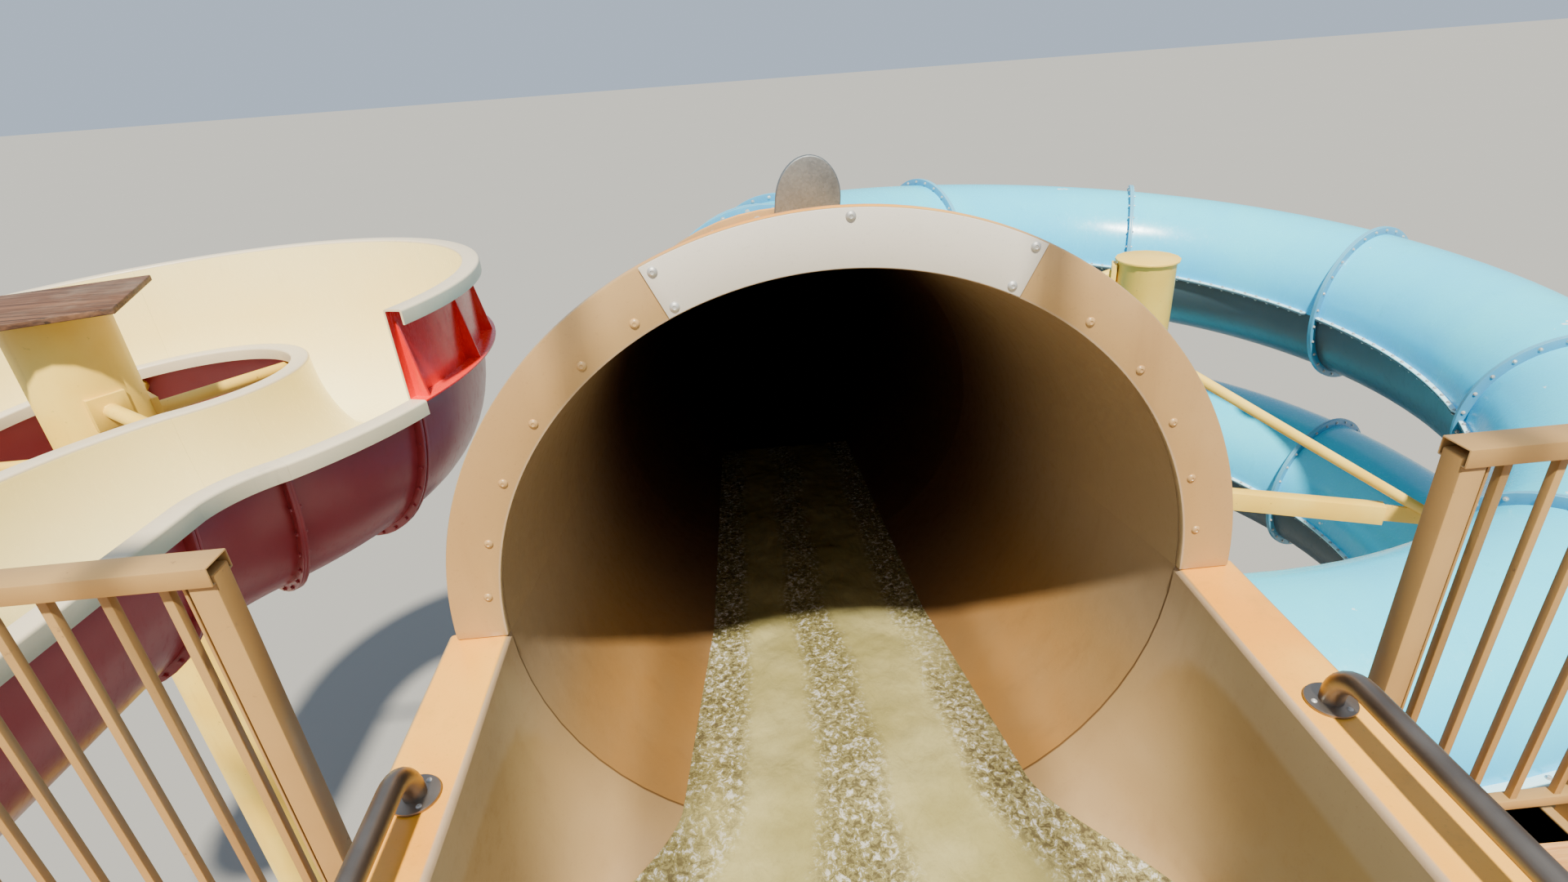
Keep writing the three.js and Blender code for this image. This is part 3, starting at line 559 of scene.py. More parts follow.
def gelcoat(name, base, pale, dirt, gloss=0.3, streaks=0.35, coat=0.25, chalk=0.0):
    """Moulded glass fibre: paler on upward faces, partly from sun-fade and partly as painted
    sunlight, streaked with dirt on its walls, faintly rippled.
    """
    f = Finish(name, Coat_Roughness=0.25, IOR=1.5)
    fade = f.patches(0.9, 7, 0.3, 0.75, distortion=0.3, roughness=0.62)
    # Painted sunlight, partly sun-fade: faces that look up are blended towards the pale colour.
    up = f.ramp(f.facing("Z"), -0.1, 0.9)
    skin = f.blend(fade * 0.3 + up * 0.55, base, pale)
    runs = f.patches(9, 5, 0.52, 0.78, stretch=(1, 1, 0.12), roughness=0.65)
    blots = f.patches(3.1, 6, 0.5, 0.75, roughness=0.7)
    grime = runs * blots * streaks
    speck = f.patches(160, 2, 0.62, 0.75) * 0.12
    skin = f.blend(grime + speck, skin, dirt)
    if chalk:
        patch = f.patches(4.5, 6, 0.69, 0.705, stretch=(1, 1, 1.6), roughness=0.62)
        skin = f.blend(patch * chalk, skin, "eaf4f6")
    scuff = f.patches(28, 6, 0.48, 0.72, stretch=(1, 1, 0.3), roughness=0.75)
    f.give(Base_Color=skin, Roughness=gloss + scuff * 0.18 + grime * 0.3, Coat_Weight=coat)
    ripple = f.cloud(5, 2) * 0.7 + f.cloud(60, 2) * 0.04
    f.give(Normal=f.bump(ripple, 0.012, 0.3))
    return f.material


def painted_steel(name, base, pale, chip="6b4a34", wear=0.5):
    """Brushed-on paint with rust at its chips and runs below them."""
    f = Finish(name, IOR=1.5, Coat_Roughness=0.3)
    shade = f.blend(f.patches(2.2, 5, 0.35, 0.7) * 0.6, base, pale)
    chips = f.patches(22, 8, 0.64, 0.69, roughness=0.72) * wear
    runs = f.patches(14, 5, 0.58, 0.75, stretch=(1, 1, 0.08), roughness=0.6) * 0.25 * wear
    shade = f.blend(runs, shade, "9a6a3c")
    shade = f.blend(chips, shade, chip)
    f.give(Base_Color=shade, Roughness=0.42 + chips * 0.35 + runs * 0.3,
           Coat_Weight=0.2 - chips * 0.2)
    f.give(Normal=f.bump(f.cloud(70, 3) * 0.25 - chips, 0.002, 0.5))
    return f.material


def timber(name, dark, light, along, grey=0.25, scale=1.0):
    """Weathered timber with its grain along x, y or z."""
    f = Finish(name, IOR=1.45)
    fine = {"x": (0.06, 1, 1), "y": (1, 0.06, 1), "z": (1, 1, 0.06)}[along]
    coarse = tuple(0.2 * part if part < 1 else part for part in fine)
    grain = f.cloud(75 * scale, 5, stretch=fine, roughness=0.65, distortion=0.5)
    rings = f.cloud(16 * scale, 3, stretch=coarse, distortion=1.5)
    wood = f.blend(f.ramp(grain * 0.55 + rings * 0.5, 0.38, 0.68), dark, light)
    bleach = f.patches(3, 5, 0.42, 0.75, roughness=0.6) * grey
    wood = f.blend(bleach, wood, "9b8f80")
    cracks = f.ramp(f.cloud(48 * scale, 3, stretch=coarse), 0.34, 0.4, 1.0, 0.0)
    wood = f.blend(cracks * 0.7, wood, "1b100c")
    f.give(Base_Color=wood, Roughness=0.68 + bleach * 0.4)
    f.give(Normal=f.bump(grain * 0.6 + rings * 0.4 - cracks, 0.004, 0.7))
    return f.material


def plain_metal(name, base, dark, roughness=0.35, scratch=(1, 1, 1), spangle=0.0, metallic=1.0):
    f = Finish(name, Metallic=metallic)
    scratches = f.cloud(90, 4, stretch=scratch, roughness=0.7)
    patches = f.patches(6, 4, 0.4, 0.7)
    tint = f.blend(patches * 0.6 + scratches * 0.2, base, dark)
    if spangle:
        cells = f.node("TexVoronoi", {"Vector": f.stretched((1, 1, 1)), "Scale": 130}, "Color")
        plates = f.node("SeparateColor", {"Color": cells}, "Red")
        tint = f.blend(plates * spangle, tint, "d5dadc")
    f.give(Base_Color=tint, Roughness=roughness + scratches * 0.2)
    f.give(Normal=f.bump(scratches, 0.0006, 0.4))
    return f.material


def tub_gelcoat(name):
    """Tan gelcoat: golden on the rims' upward faces as painted sunlight, darker and greyer below
    the rims and greyer on the bore's upper walls as painted shade, stained by the mouth, and dark
    inside the tube as painted shade.
    """
    f = Finish(name, Coat_Roughness=0.2, IOR=1.5)
    ahead = f.axis("Y") - MOUTH.y
    across = f.axis("X") - MOUTH.x
    down = ahead.maths("MAXIMUM", ahead) * STRAIGHT_FALL
    rise = f.axis("Z") - MOUTH.z + down
    radius = (across * across + rise * rise) ** 0.5
    bore = f.ramp(radius, BORE + 0.002, BORE + 0.006, 1.0, 0.0)
    fade = f.patches(1.7, 5, 0.35, 0.7, distortion=0.5)
    skin = f.blend(fade * 0.7, "b08d5c", "c6a672")
    # Painted sunlight: faces that look up near the rims' level turn golden.
    rim = f.ramp(f.facing("Z"), 0.85, 0.97) * f.ramp(rise, -0.2, -0.1)
    skin = f.blend(rim, skin, f.blend(fade, "f4a224", "febc48"))
    low = f.ramp(rise, -0.5, -0.12, 1.0, 0.0)
    near = f.ramp(ahead, -0.004, 0.004) * f.ramp(ahead, 0.3, 1.3, 1.0, 0.0)
    patchy = f.ramp(f.cloud(2.1, 4, stretch=(1, 0.6, 1), roughness=0.55), 0.28, 0.62, 0.45, 1.0)
    # Painted shade: below the rims' level the tan is darkened and greyed.
    skin = f.blend(f.ramp(rise, -0.08, -0.02, 1.0, 0.0) * 0.45, skin, "8e7656")
    skin = f.blend(low * near * bore * patchy * 0.7, skin, "b88038")
    # Painted shade: the bore's upper walls, out of the sun, get a paler, greyer tone.
    shade = f.ramp(rise, -0.32, -0.04) * bore
    skin = f.blend(shade * 0.8, skin, "b8a288")
    runs = f.patches(11, 5, 0.5, 0.8, stretch=(1, 1, 0.1), roughness=0.65) * 0.22
    skin = f.blend(runs, skin, "7d5c3a")
    speck = f.patches(190, 2, 0.62, 0.74) * 0.12
    skin = f.blend(speck, skin, "6d4c2e")
    # Painted shade: the bore darkens towards dark brown deeper into the tube.
    depth = f.ramp(ahead, 0.15, 1.6) * bore
    skin = f.blend(depth * 0.9, skin, "5c3c26")
    joint = f.ramp(abs(ahead), 0.002, 0.0045, 1.0, 0.0) * bore * f.ramp(rise, -0.03, 0.0, 1.0, 0.0)
    skin = f.blend(joint * 0.75, skin, "50341d")
    wear = f.patches(30, 6, 0.46, 0.7, roughness=0.75)
    f.give(Base_Color=skin, Roughness=0.3 + wear * 0.2 + depth * 0.25,
           Coat_Weight=0.3 - depth * 0.25)
    f.give(Normal=f.bump(f.cloud(5, 2) * 0.7 + f.cloud(90, 2) * 0.05, 0.01, 0.3))
    return f.material


def running_water(name):
    """Shallow running water, greenish, broken into foam along both sides and the middle, with
    painted shade in the foam's hollows and white specks that are partly painted glints.
    """
    f = Finish(name, IOR=1.33, Specular_IOR_Level=0.9, Coat_Roughness=0.03)
    place = f.node("TexCoord", {}, "UV")
    share = f.part(place, "X") - 0.5
    wander = (f.cloud(1.6, 2, stretch=(0.2, 1, 1)) - 0.5) * 0.25
    sides = f.ramp(abs(share + wander * 0.3), 0.3, 0.38)
    middle = f.ramp(abs(share + 0.03 + wander), 0.05, 0.13, 1.0, 0.0)
    bands = (sides + middle * 0.85) * f.patches(3.2, 3, 0.2, 0.45, stretch=(1, 0.4, 1))
    churn = f.cloud(58, 7, stretch=(1, 0.8, 1), roughness=0.78, distortion=0.5)
    # The white specks are partly foam and partly painted glints.
    foam = f.ramp(churn, 0.54, 0.58)
    # Painted shade: the churned hollows between the foam are dark olive.
    hollow = f.ramp(churn, 0.43, 0.49, 1.0, 0.0)
    body = f.blend(f.patches(4, 5, 0.35, 0.7), "a09860", "b8b07a")
    body = f.blend(hollow * (bands * 0.85 + 0.08), body, "645a40")
    f.give(Base_Color=f.blend(foam * bands, body, "fbfaf2"),
           Roughness=0.04 + foam * bands * 0.25, Coat_Weight=0.6)
    ripple = f.cloud(22, 4, stretch=(1, 0.4, 1), roughness=0.5, distortion=0.4) * 0.5
    f.give(Normal=f.bump(ripple + churn * (bands * 0.9 + 0.1), 0.02, 0.8))
    return f.material


TUB_TAN = tub_gelcoat("tub_tan")
BLUE = gelcoat("tube_blue", "10bdff", "54eaff", "3f6f84", gloss=0.22, chalk=0.9)
# Painted sunlight: the upper shells' ears are a much paler blue than the shells.
SUNLIT_SEAM_BLUE = gelcoat("tube_seam_painted_sunlit_blue", "a4ecff", "dcfcff", "5f8796", gloss=0.3)
# Painted shade, partly a darker gelcoat: the lower half shells are a dark slate blue.
SHADED_BLUE_UNDERSIDE = gelcoat("tube_blue_underside_painted_shade", "3a525f", "526c7c", "1f2a30", gloss=0.42, coat=0.08)
# Painted shade: the flanges are a darker teal than the tube's blue.
SHADED_BLUE_FLANGE = gelcoat("tube_flange_painted_shade_blue", "3c92bc", "74c4e2", "38474c", gloss=0.34)
# Painted shade: the blue lengths' inside is dark brown, for the dark within the tube.
PAINTED_SHADE_LINING = gelcoat("tube_lining_painted_shade", "5c3c26", "644630", "2a1a10", gloss=0.5, coat=0.0)
FLUME_CREAM = gelcoat("flume_cream", "feeaa4", "fff8c8", "ab8f5c", gloss=0.2, streaks=0.45)
FLUME_RED = gelcoat("flume_red", "ac3036", "c4565a", "441416", gloss=0.32, coat=0.25)
# Painted sunlight: a bright, sunlit copy of the flume's maroon red, for the tall walls' outside,
# their ledge and gussets.
SUNLIT_TALL_RED = gelcoat("tall_wall_painted_sunlit_red", "f01612", "fb4030", "6a0c0c", gloss=0.25, streaks=0.2)
FLUME_WHITE = gelcoat("flume_rim", "d2c2a2", "f0e2c4", "7d776c", gloss=0.35, streaks=0.6)
CREAM_STEEL = painted_steel("cream_steel", "f6ca4c", "ffe070")
TAN_STEEL = painted_steel("tan_steel", "a5834f", "bc9a62", "5a4636", 0.45)
POST_BROWN = timber("post_brown", "24130f", "4b2b22", "z")
BEAM_BROWN_X = timber("beam_brown_x", "24130f", "4b2b22", "x")
BEAM_BROWN_Y = timber("beam_brown_y", "24130f", "4b2b22", "y")
DECK_BOARD = timber("deck_board", "c18b4e", "eab97a", "x", grey=0.2)
CAP_TIMBER = timber("cap_timber", "42291b", "78543c", "x", grey=0.3, scale=0.7)
DARK_STEEL = plain_metal("grab_rail_steel", "a0968c", "74685f", 0.3, (1, 0.1, 1))
ZINC = plain_metal("zinc", "858b8e", "666c70", 0.5, spangle=0.12)
BOLT = plain_metal("bolt", "d3d5d4", "a5a5a2", 0.4, metallic=0.55)
SIGN_WHITE = gelcoat("sign_white", "d4cfc4", "e2dfd7", "8d8578", gloss=0.35, streaks=0.5)
WATER = running_water("running_water")


# Fasteners

def hex_bolt():
    """A hex head on a washer, standing on z = 0 and pointing up."""
    radius = 0.011
    washer = cylinder(12, radius * 1.45, radius * 0.22, (0, 0, radius * 0.11))
    head = cylinder(6, radius, radius * 0.8, (0, 0, radius * 0.6))
    with Edit(head) as edit:
        edit.pick("FACE", lambda face: face.normal.z > 0.9)
        edit.extrude((0, 0, radius * 0.16)).resize((0.8, 0.8, 1), (0, 0, radius))
    return dress(join([head, washer]), BOLT)


# Tube slide

def half_shell(run, side, steps, outside, lining):
    """One half shell with its bolted ears, inside the tube's outer radius."""
    wire = arc(TUBE, TUBE, CIRCLE_SIDES, side)
    with Edit(wire) as edit:
        edit.place(lambda co: Vector((copysign(TUBE, co.x), 0, side * SHELL_SPLIT))
                   if abs(co.z) < 1e-4 else co)
    sweep(wire, run, GAP, run.length - GAP, steps)
    face_away(dress(wire, outside, lining), run)
    parts = [smooth(thicken(wire, WALL - SHELL_PLAY, inner=1))]
    for direction in (-1, 1):
        for start, end in ear_spans(run):
            # Ears of the upper shells take the pale blue of painted sunlight.
            parts.append(seam_ear(run, direction, side, start, end,
                                  SUNLIT_SEAM_BLUE if outside is BLUE else outside))
    return join(parts)


def ear_spans(run):
    """Where the bolted ears run: between joints, and short of each one's end."""
    joints = max(1, round(abs(run.turn) / radians(TURN_PER_JOINT)))
    step = run.length / joints
    return [(step * i + FLANGE_THICK + EAR_CLEAR, step * (i + 1) - FLANGE_THICK - EAR_SHORT)
            for i in range(joints)]


def seam_ear(run, direction, side, start, end, finish):
    """The flat ear of one half shell along one side, with a rounded end."""
    face_length, thick, apart, rounding = 0.06, 0.012, 0.002, 0.04
    root = TUBE - 0.006
    reach = SEAM_REACH - root

    def shape(co):
        s = start + (end - start) * (co.x + 0.5)
        out = root + reach * (co.y + 0.5)
        if co.y > 0.4:
            out -= reach * max(0.0, 1 - (end - s) / rounding) ** 2
        return Vector((direction * out, s, side * apart))
    ear = grid(max(2, round((end - start) / face_length)), 1, shape)
    return rounded(run.bend(drawn(ear, (0, 0, side * thick))), finish, 0.003, 2, 50)


def ring(inner, outer, thick, finish):
    """A flat upright ring from y = 0 to y = thick."""
    wire = hoop(CIRCLE_SIDES, inner)
    with Edit(wire) as edit:
        edit.pick("EDGE").extrude().resize((outer / inner, 1, outer / inner))
    return rounded(drawn(wire, (0, thick, 0)), finish, 0.004)


def through(bolt, thick, spots):
    """Bolt heads on both faces of a joint from y = 0 to thick, at each spot."""
    return spread(bolt, [spot @ offset(0, y, 0) @ rotation(tip, "X") for spot in spots
                         for y, tip in ((0, pi / 2), (thick, -pi / 2))])


def flange_bolts(bolt, thick):
    count, radius = 28, 0.737
    return through(bolt, thick, [rotation(2 * pi * (i + 0.5) / count, "Y") @ offset(0, 0, radius)
                                 for i in range(count)])


def seam_bolts(bolt, run):
    """A row of bolts through the ears on both sides of a length."""
    pitch, margin, height = 0.15, 0.07, 0.014
    middle = (TUBE + SEAM_REACH) / 2 + 0.002
    under = rotation(pi, "X")
    matrices = []
    for start, end in ear_spans(run):
        length = end - start - 2 * margin
        count = max(2, round(length / pitch))
        for i in range(count + 1):
            at = run.along(start + margin + length * i / count)
            for x in (-middle, middle):
                matrices += [at @ offset(x, 0, height), at @ offset(x, 0, -height) @ under]
    return spread(bolt, matrices)


def tube_length(run, bolt, steps, joints, upper, lower, flange):
    """One length of tube in its own frame: half shells, joints and bolts."""
    # The blue lengths are lined with the dark painted-shade brown.
    lining = PAINTED_SHADE_LINING if upper is BLUE else upper
    parts = [half_shell(run, 1, steps, upper, lining), half_shell(run, -1, steps, lower, lining)]
    collar = ring(TUBE - 0.003, FLANGE, FLANGE_THICK - GAP, flange)
    bolts = flange_bolts(bolt, FLANGE_THICK - GAP)
    for i in range(joints + 1):
        s = run.length * i / joints
        for begin, shown in ((s - FLANGE_THICK, i > 0), (s + GAP / 2, i < joints)):
            if shown:
                parts += [copy_of(part, run.along(begin)) for part in (collar, bolts)]
    parts.append(seam_bolts(bolt, run))
    discard(collar, bolts)
    return join(parts)


def tube_slide(bolt):
    steps = [(length, 0, STRAIGHT_FALL) for _, length in TUBE_LENGTHS]
    steps.append(turned(COIL_RADIUS, ENTRY_TURN, COIL_FALL))
    steps += [turned(COIL_RADIUS, -90, COIL_FALL)] * QUARTERS
    runs = chain(MOUTH, 0.0, steps)
    # Upper shells sky blue; lower shells and flanges in the darker blues of painted shade.
    tans, blues = [TUB_TAN] * 3, [BLUE, SHADED_BLUE_UNDERSIDE, SHADED_BLUE_FLANGE]
    for run, (name, _) in zip(runs, TUBE_LENGTHS):
        finishes, slot = (tans, "tan_shell") if name == "first" else (blues, "blue_shell")
        made = move(tube_length(run, bolt, 2, 1, *finishes), run.matrix())
        deliver(made, f"tube_{name}", slot, f"tube_{name}_length")
    entry, *coil = runs[len(TUBE_LENGTHS):]
    made = move(tube_length(entry, bolt, 6, 1, *blues), entry.matrix())
    deliver(made, "tube_bend", "blue_shell", "tube_entry_bend")
    base = tube_length(coil[0], bolt, 24, 2, *blues)
    for i, run in enumerate(coil, 1):
        deliver(copy_of(base, run.matrix()), f"tube_quarter_{i}", "blue_shell",
                f"tube_coil_quarter_{i}")
    discard(base)


# Start tub, collar, sign, lug and grab rails

def squareness(y):
    """How far the trough at y has gone from the round bore, 0, to the square tub, 1."""
    share = min(1.0, max(0.0, -y / TUB_BLEND))
    return share * share * (3 - 2 * share)


def tub_section(angle, share):
    """A point of the tub's inner face: the round bore at share 0, the square trough at 1."""
    stretch, soft = 1.45, 14
    point = []
    for part, limit in ((BORE * cos(angle), RIM_INNER), (BORE * sin(angle), -TUB_FLOOR)):
        boxed = part * stretch / (1 + abs(part * stretch / limit) ** soft) ** (1 / soft)
        point.append(part + (boxed - part) * share)
    return point


def start_tub():
    """The moulded trough with its flat rims, closed at the back by a low wall."""
    under_rim, blend_rows, straight_rows = 0.012, 12, 8
    wire = arc(BORE, BORE, CIRCLE_SIDES, -1)
    rest = TUB_LENGTH - TUB_BLEND
    rows = [TUB_BLEND * i / blend_rows for i in range(blend_rows)]
    rows += [TUB_BLEND + rest * i / straight_rows for i in range(straight_rows + 1)]

    def shape(co):
        x, z = tub_section(atan2(co.z, co.x), squareness(co.y))
        return Vector((x, co.y, min(z, -under_rim) if co.z > -1e-4 else z))
    with Edit(wire) as edit:
        edit.pick().place(lambda co: co - Vector((0, GAP, 0)))
        edit.extrude(*[(0, near - far, 0) for near, far in zip(rows, rows[1:])])
        edit.place(shape)
        for direction in (-1, 1):
            edit.pick("VERT", lambda v: v.co.x * direction > 0 and v.co.z > -under_rim - 0.0005)
            edit.extrude((0, 0, under_rim), (direction * (RIM_OUTER - RIM_INNER), 0, 0),
                         (0, 0, -RIM_LIP))
        edit.place(lambda co: Vector((copysign(RIM_OUTER, co.x), co.y, co.z))
                   if abs(co.x) > RIM_OUTER - 0.02 else co)
        edit.outward()
    face_up(wire)
    bevel(dress(wire, TUB_TAN), 0.014, 3, 50)
    parts = [smooth(thicken(wire, TUB_SHEET))]
    half_back, half_foot, foot_depth = RIM_INNER + 0.006, 0.6, 0.07
    parts.append(bar(TUB_TAN, 0.006, -half_back, half_back, -TUB_LENGTH, -TUB_LENGTH + 0.02,
                     TUB_FLOOR - 0.008, TUB_FLOOR + 0.25, segments=3))
    for y in TUB_FEET:
        parts.append(bar(TUB_TAN, 0.008, -half_foot, half_foot, y - foot_depth, y + foot_depth,
                         DECK + 2 * GAP, TUB_FLOOR - 0.011))
    deliver(move(join(parts), TO_MOUTH), "tub", "tan_shell", "start_tub")


def sector(inner, outer, start, end, front, thick, finish, steps, edge):
    """A flat plate between two radii and two angles, upright, its front at y = front."""
    def shape(co):
        angle = radians(start + (end - start) * (co.x + 0.5))
        radius = inner + (outer - inner) * (co.y + 0.5)
        return Vector((radius * cos(angle), front + thick, radius * sin(angle)))
    return rounded(drawn(grid(steps, 2, shape), (0, -thick, 0)), finish, edge)


def on_face(angle, radius, y):
    """A matrix that stands a fastener on an upright face that looks towards -y."""
    angle = radians(angle)
    return offset(radius * cos(angle), y, radius * sin(angle)) @ rotation(pi / 2, "X")


def dome_screw():
    """A pan head screw with a driver recess, standing on z = 0."""
    radius = 0.009
    bpy.ops.mesh.primitive_uv_sphere_add(segments=14, ring_count=8, radius=radius)
    head = settle()
    with Edit(head) as edit:
        edit.remove(lambda v: v.co.z < -1e-5)
        edit.pick().resize((1, 1, 0.55))
        edit.fill(lambda e: all(v.co.z < 1e-5 for v in e.verts))
        edit.pick("FACE", lambda face: face.calc_center_median().z > radius * 0.5)
        bpy.ops.mesh.inset(thickness=radius * 0.08, depth=-radius * 0.12)
    return dress(smooth(head), BOLT)


def entry_collar(screw):
    front, plug_radius = -GAP - COLLAR_THICK, 0.712
    body = sector(BORE, COLLAR_OUTER, 0.1, 179.9, front, COLLAR_THICK, TUB_TAN, 96, 0.004)
    angles = [90 + side * step for side in (-1, 1)
              for step in (28.8, 38.5, 50.0, 61.0, 72.0, 82.0)]
    beside_sign = [angle for angle in angles if not 60 < angle < 117]
    plug = dress(copy_of(screw), TUB_TAN)
    plugs = spread(plug, [on_face(angle, plug_radius, front) for angle in beside_sign])
    discard(plug)
    deliver(move(join([body, plugs]), TO_MOUTH), "collar", "tan_shell", "entry_collar")


def sign(screw):
    thick = 0.004
    front = -COLLAR_THICK - 2 * GAP - thick
    plate = sector(BORE + 0.003, COLLAR_OUTER - 0.002, 63, 114.3, front, thick, SIGN_WHITE, 32,
                   0.001)
    spots = [(113.0, 0.771), (112.8, 0.703), (88.0, 0.774), (64.4, 0.775), (64.8, 0.702)]
    screws = spread(screw, [on_face(angle, radius, front) for angle, radius in spots])
    deliver(move(join([plate, screws]), TO_MOUTH), "bare_sign", "white_sheet", "sign_plate")


def lug(bolt):
    """The rounded galvanised plate on the first joint's flange, with a row of bolts."""
    half, foot, shoulder, crown, thick = 0.115, 0.7032, 0.805, 0.148, 0.030
    pitch, bolt_line, lean = 0.04, 0.728, 7
    plate = arc(half, crown, 48, 1)
    with Edit(plate) as edit:
        edit.place(lambda co: co + Vector((0, 0, shoulder)))
        edit.pick("VERT", lambda v: v.co.z < shoulder + 1e-4).extrude((0, 0, foot - shoulder))
        edit.fill()
    parts = [rounded(drawn(plate, (0, -thick, 0)), ZINC, 0.005, 3, 50)]
    parts.append(spread(bolt, [offset(pitch * i, -thick, bolt_line) @ rotation(pi / 2, "X")
                               for i in range(-2, 3)]))
    length = TUBE_LENGTHS[0][1]
    place = (TO_MOUTH @ offset(0, length - FLANGE_THICK - GAP, -STRAIGHT_FALL * length)
             @ rotation(radians(lean), "Y"))
    deliver(move(join(parts), place), "lug", "galvanised", "joint_lug")


def grab_rail(name, side, screw):
    """A bent stainless tube on two screwed discs."""
    bend, disc_thick, screws_out = 0.06, 0.006, 0.029
    tube = hoop(20, GRAB_RADIUS, (0, GRAB_FRONT, disc_thick), upright=False)
    rise = GRAB_HEIGHT - bend - disc_thick
    with Edit(tube) as edit:
        edit.pick().extrude((0, 0, rise))
        for y, step in ((GRAB_FRONT - bend, (0, GRAB_BACK - GRAB_FRONT + 2 * bend, 0)),
                        (GRAB_BACK + bend, (0, 0, -rise))):
            bpy.ops.mesh.spin(steps=8, angle=-pi / 2, axis=(1, 0, 0),
                              center=(0, y, GRAB_HEIGHT - bend))
            edit.extrude(step)
        edit.outward()
    parts = [smooth(dress(tube, DARK_STEEL))]
    small = copy_of(screw, Matrix.Scale(0.55, 4))
    angles = [radians(60 + 120 * i) for i in range(3)]
    for y in (GRAB_FRONT, GRAB_BACK):
        disc = cylinder(32, 0.04, disc_thick, (0, y, disc_thick / 2 + GAP))
        parts.append(rounded(disc, DARK_STEEL, 0.002))
        parts.append(spread(small, [offset(screws_out * cos(a), y + screws_out * sin(a), disc_thick)
                                    for a in angles]))
    discard(small)
    rail = move(join(parts), TO_MOUTH @ offset(side * GRAB_X, 0, 0))
    deliver(rail, f"grab_{name}", "stainless", f"grab_rail_{name}")


def water_sheet():
    """Running water on the tub's floor and down the tube."""
    long, level, drawn_down = 5.2, -0.545, 0.04

    def shape(co):
        y = -TUB_LENGTH + 0.03 + (co.y + 0.5) * long
        fall = STRAIGHT_FALL * max(y, 0.0)
        z = level - drawn_down * min(1.0, max(0.0, (y + 0.25) / 1.1))
        round_half = sqrt(BORE ** 2 - z ** 2)
        half = round_half + (RIM_INNER - 0.025 - round_half) * squareness(y) - 0.002
        x = 2 * co.x * half
        wave = noise.fractal(Vector((x * 9, y * 5.5, 0.3)), 0.9, 2.0, 4) * 0.007
        small = noise.noise(Vector((x * 40, y * 22, 2.0))) * 0.0015
        edge = 1 - min(1.0, (2 * abs(co.x)) ** 6)
        return Vector((x, y, z - fall + (wave + small) * edge))
    sheet = grid(56, 400, shape)
    with Edit(sheet) as edit:
        edit.outward()
    face_up(sheet)
    smooth(thicken(dress(sheet, WATER), 0.01), 60)
    deliver(move(sheet, TO_MOUTH), "water", "tan_shell")


# Open flume

def flume_wire(right_wall):
    """The flume's cross-section as one line from lip to lip."""
    wire = arc(FLUME_HALF, FLUME_DEPTH, FLUME_SIDES, -1)
    with Edit(wire) as edit:
        for direction, wall in ((-1, 0.0), (1, right_wall)):
            edit.pick("VERT", lambda v: v.co.x * direction > FLUME_HALF - 1e-3)
            edit.extrude((0, 0, FLUME_RIM_TOP + wall), (direction * FLUME_RIM, 0, 0),
                         (0, 0, -FLUME_LIP))
    return wire


def flume_trough(run, right_wall, steps):
    wire = sweep(flume_wire(right_wall), run, GAP, run.length - GAP, steps)
    face_up(wire)
    bevel(dress(wire, FLUME_CREAM, FLUME_RED, FLUME_WHITE, SUNLIT_TALL_RED), 0.016, 3, 50)
    return smooth(thicken(wire, FLUME_SKIN, inner=OUTSIDE, rim=RIMS))


def paint_rims(obj, run, right_wall):
    """Gives the flat rims and their lips the rim finish, and a tall wall's outside the bright red
    of painted sunlight.
    """
    line = [run.along(run.length * i / 90) for i in range(91)]
    for face in obj.data.polygons:
        nearest = min(line, key=lambda at: (at.translation - face.center).to_2d().length)
        local = nearest.inverted() @ face.center
        wall = right_wall if local.x > 0 else 0.0
        rim_z = FLUME_RIM_TOP + wall
        if wall and local.z > FLUME_RIM_TOP and face.material_index == OUTSIDE:
            face.material_index = TALL_OUTSIDE
        if abs(local.x) > FLUME_HALF - 0.012 and local.z > rim_z - FLUME_LIP - 0.02:
            outer_wall = abs(local.x) < FLUME_HALF + 0.02 and local.z < rim_z - 0.02
            face.material_index = face.material_index if outer_wall else RIMS
    return obj


def ledge(run):
    """The rim that goes on outside a tall wall, with three-cornered plates between them."""
    inner, edge, pieces = FLUME_HALF + 0.004, FLUME_HALF + FLUME_RIM, 24
    strip = box(inner, edge, 0.001, run.length - 0.001, FLUME_RIM_TOP - FLUME_SHEET + 0.006,
                FLUME_RIM_TOP)
    with Edit(strip) as edit:
        for i in range(1, pieces):
            edit.pick("FACE")
            bpy.ops.mesh.bisect(plane_co=(0, run.length * i / pieces, 0), plane_no=(0, 1, 0))
    parts = [smooth(run.bend(bevel(dress(strip, SUNLIT_TALL_RED), 0.003, 2, 50)))]
    tip = TALL_WALL - FLUME_LIP + FLUME_RIM_TOP
    foot = edge - FLUME_SHEET
    low = FLUME_RIM_TOP - FLUME_SHEET / 2
    for i in range(GUSSETS_PER_TURN):
        s = FLANGE_THICK + 0.020 + run.length * i / GUSSETS_PER_TURN
        plate = box(inner, foot, s, s + GUSSET_THICK, low, tip)
        with Edit(plate) as edit:
            edit.pick("VERT", lambda v: v.co.x > foot - 1e-4 and v.co.z > tip - 1e-4)
            bpy.ops.transform.translate(value=(inner + 0.012 - foot, 0, 0))
        parts.append(run.bend(bevel(dress(plate, SUNLIT_TALL_RED), 0.003, 2, 50)))
    return parts


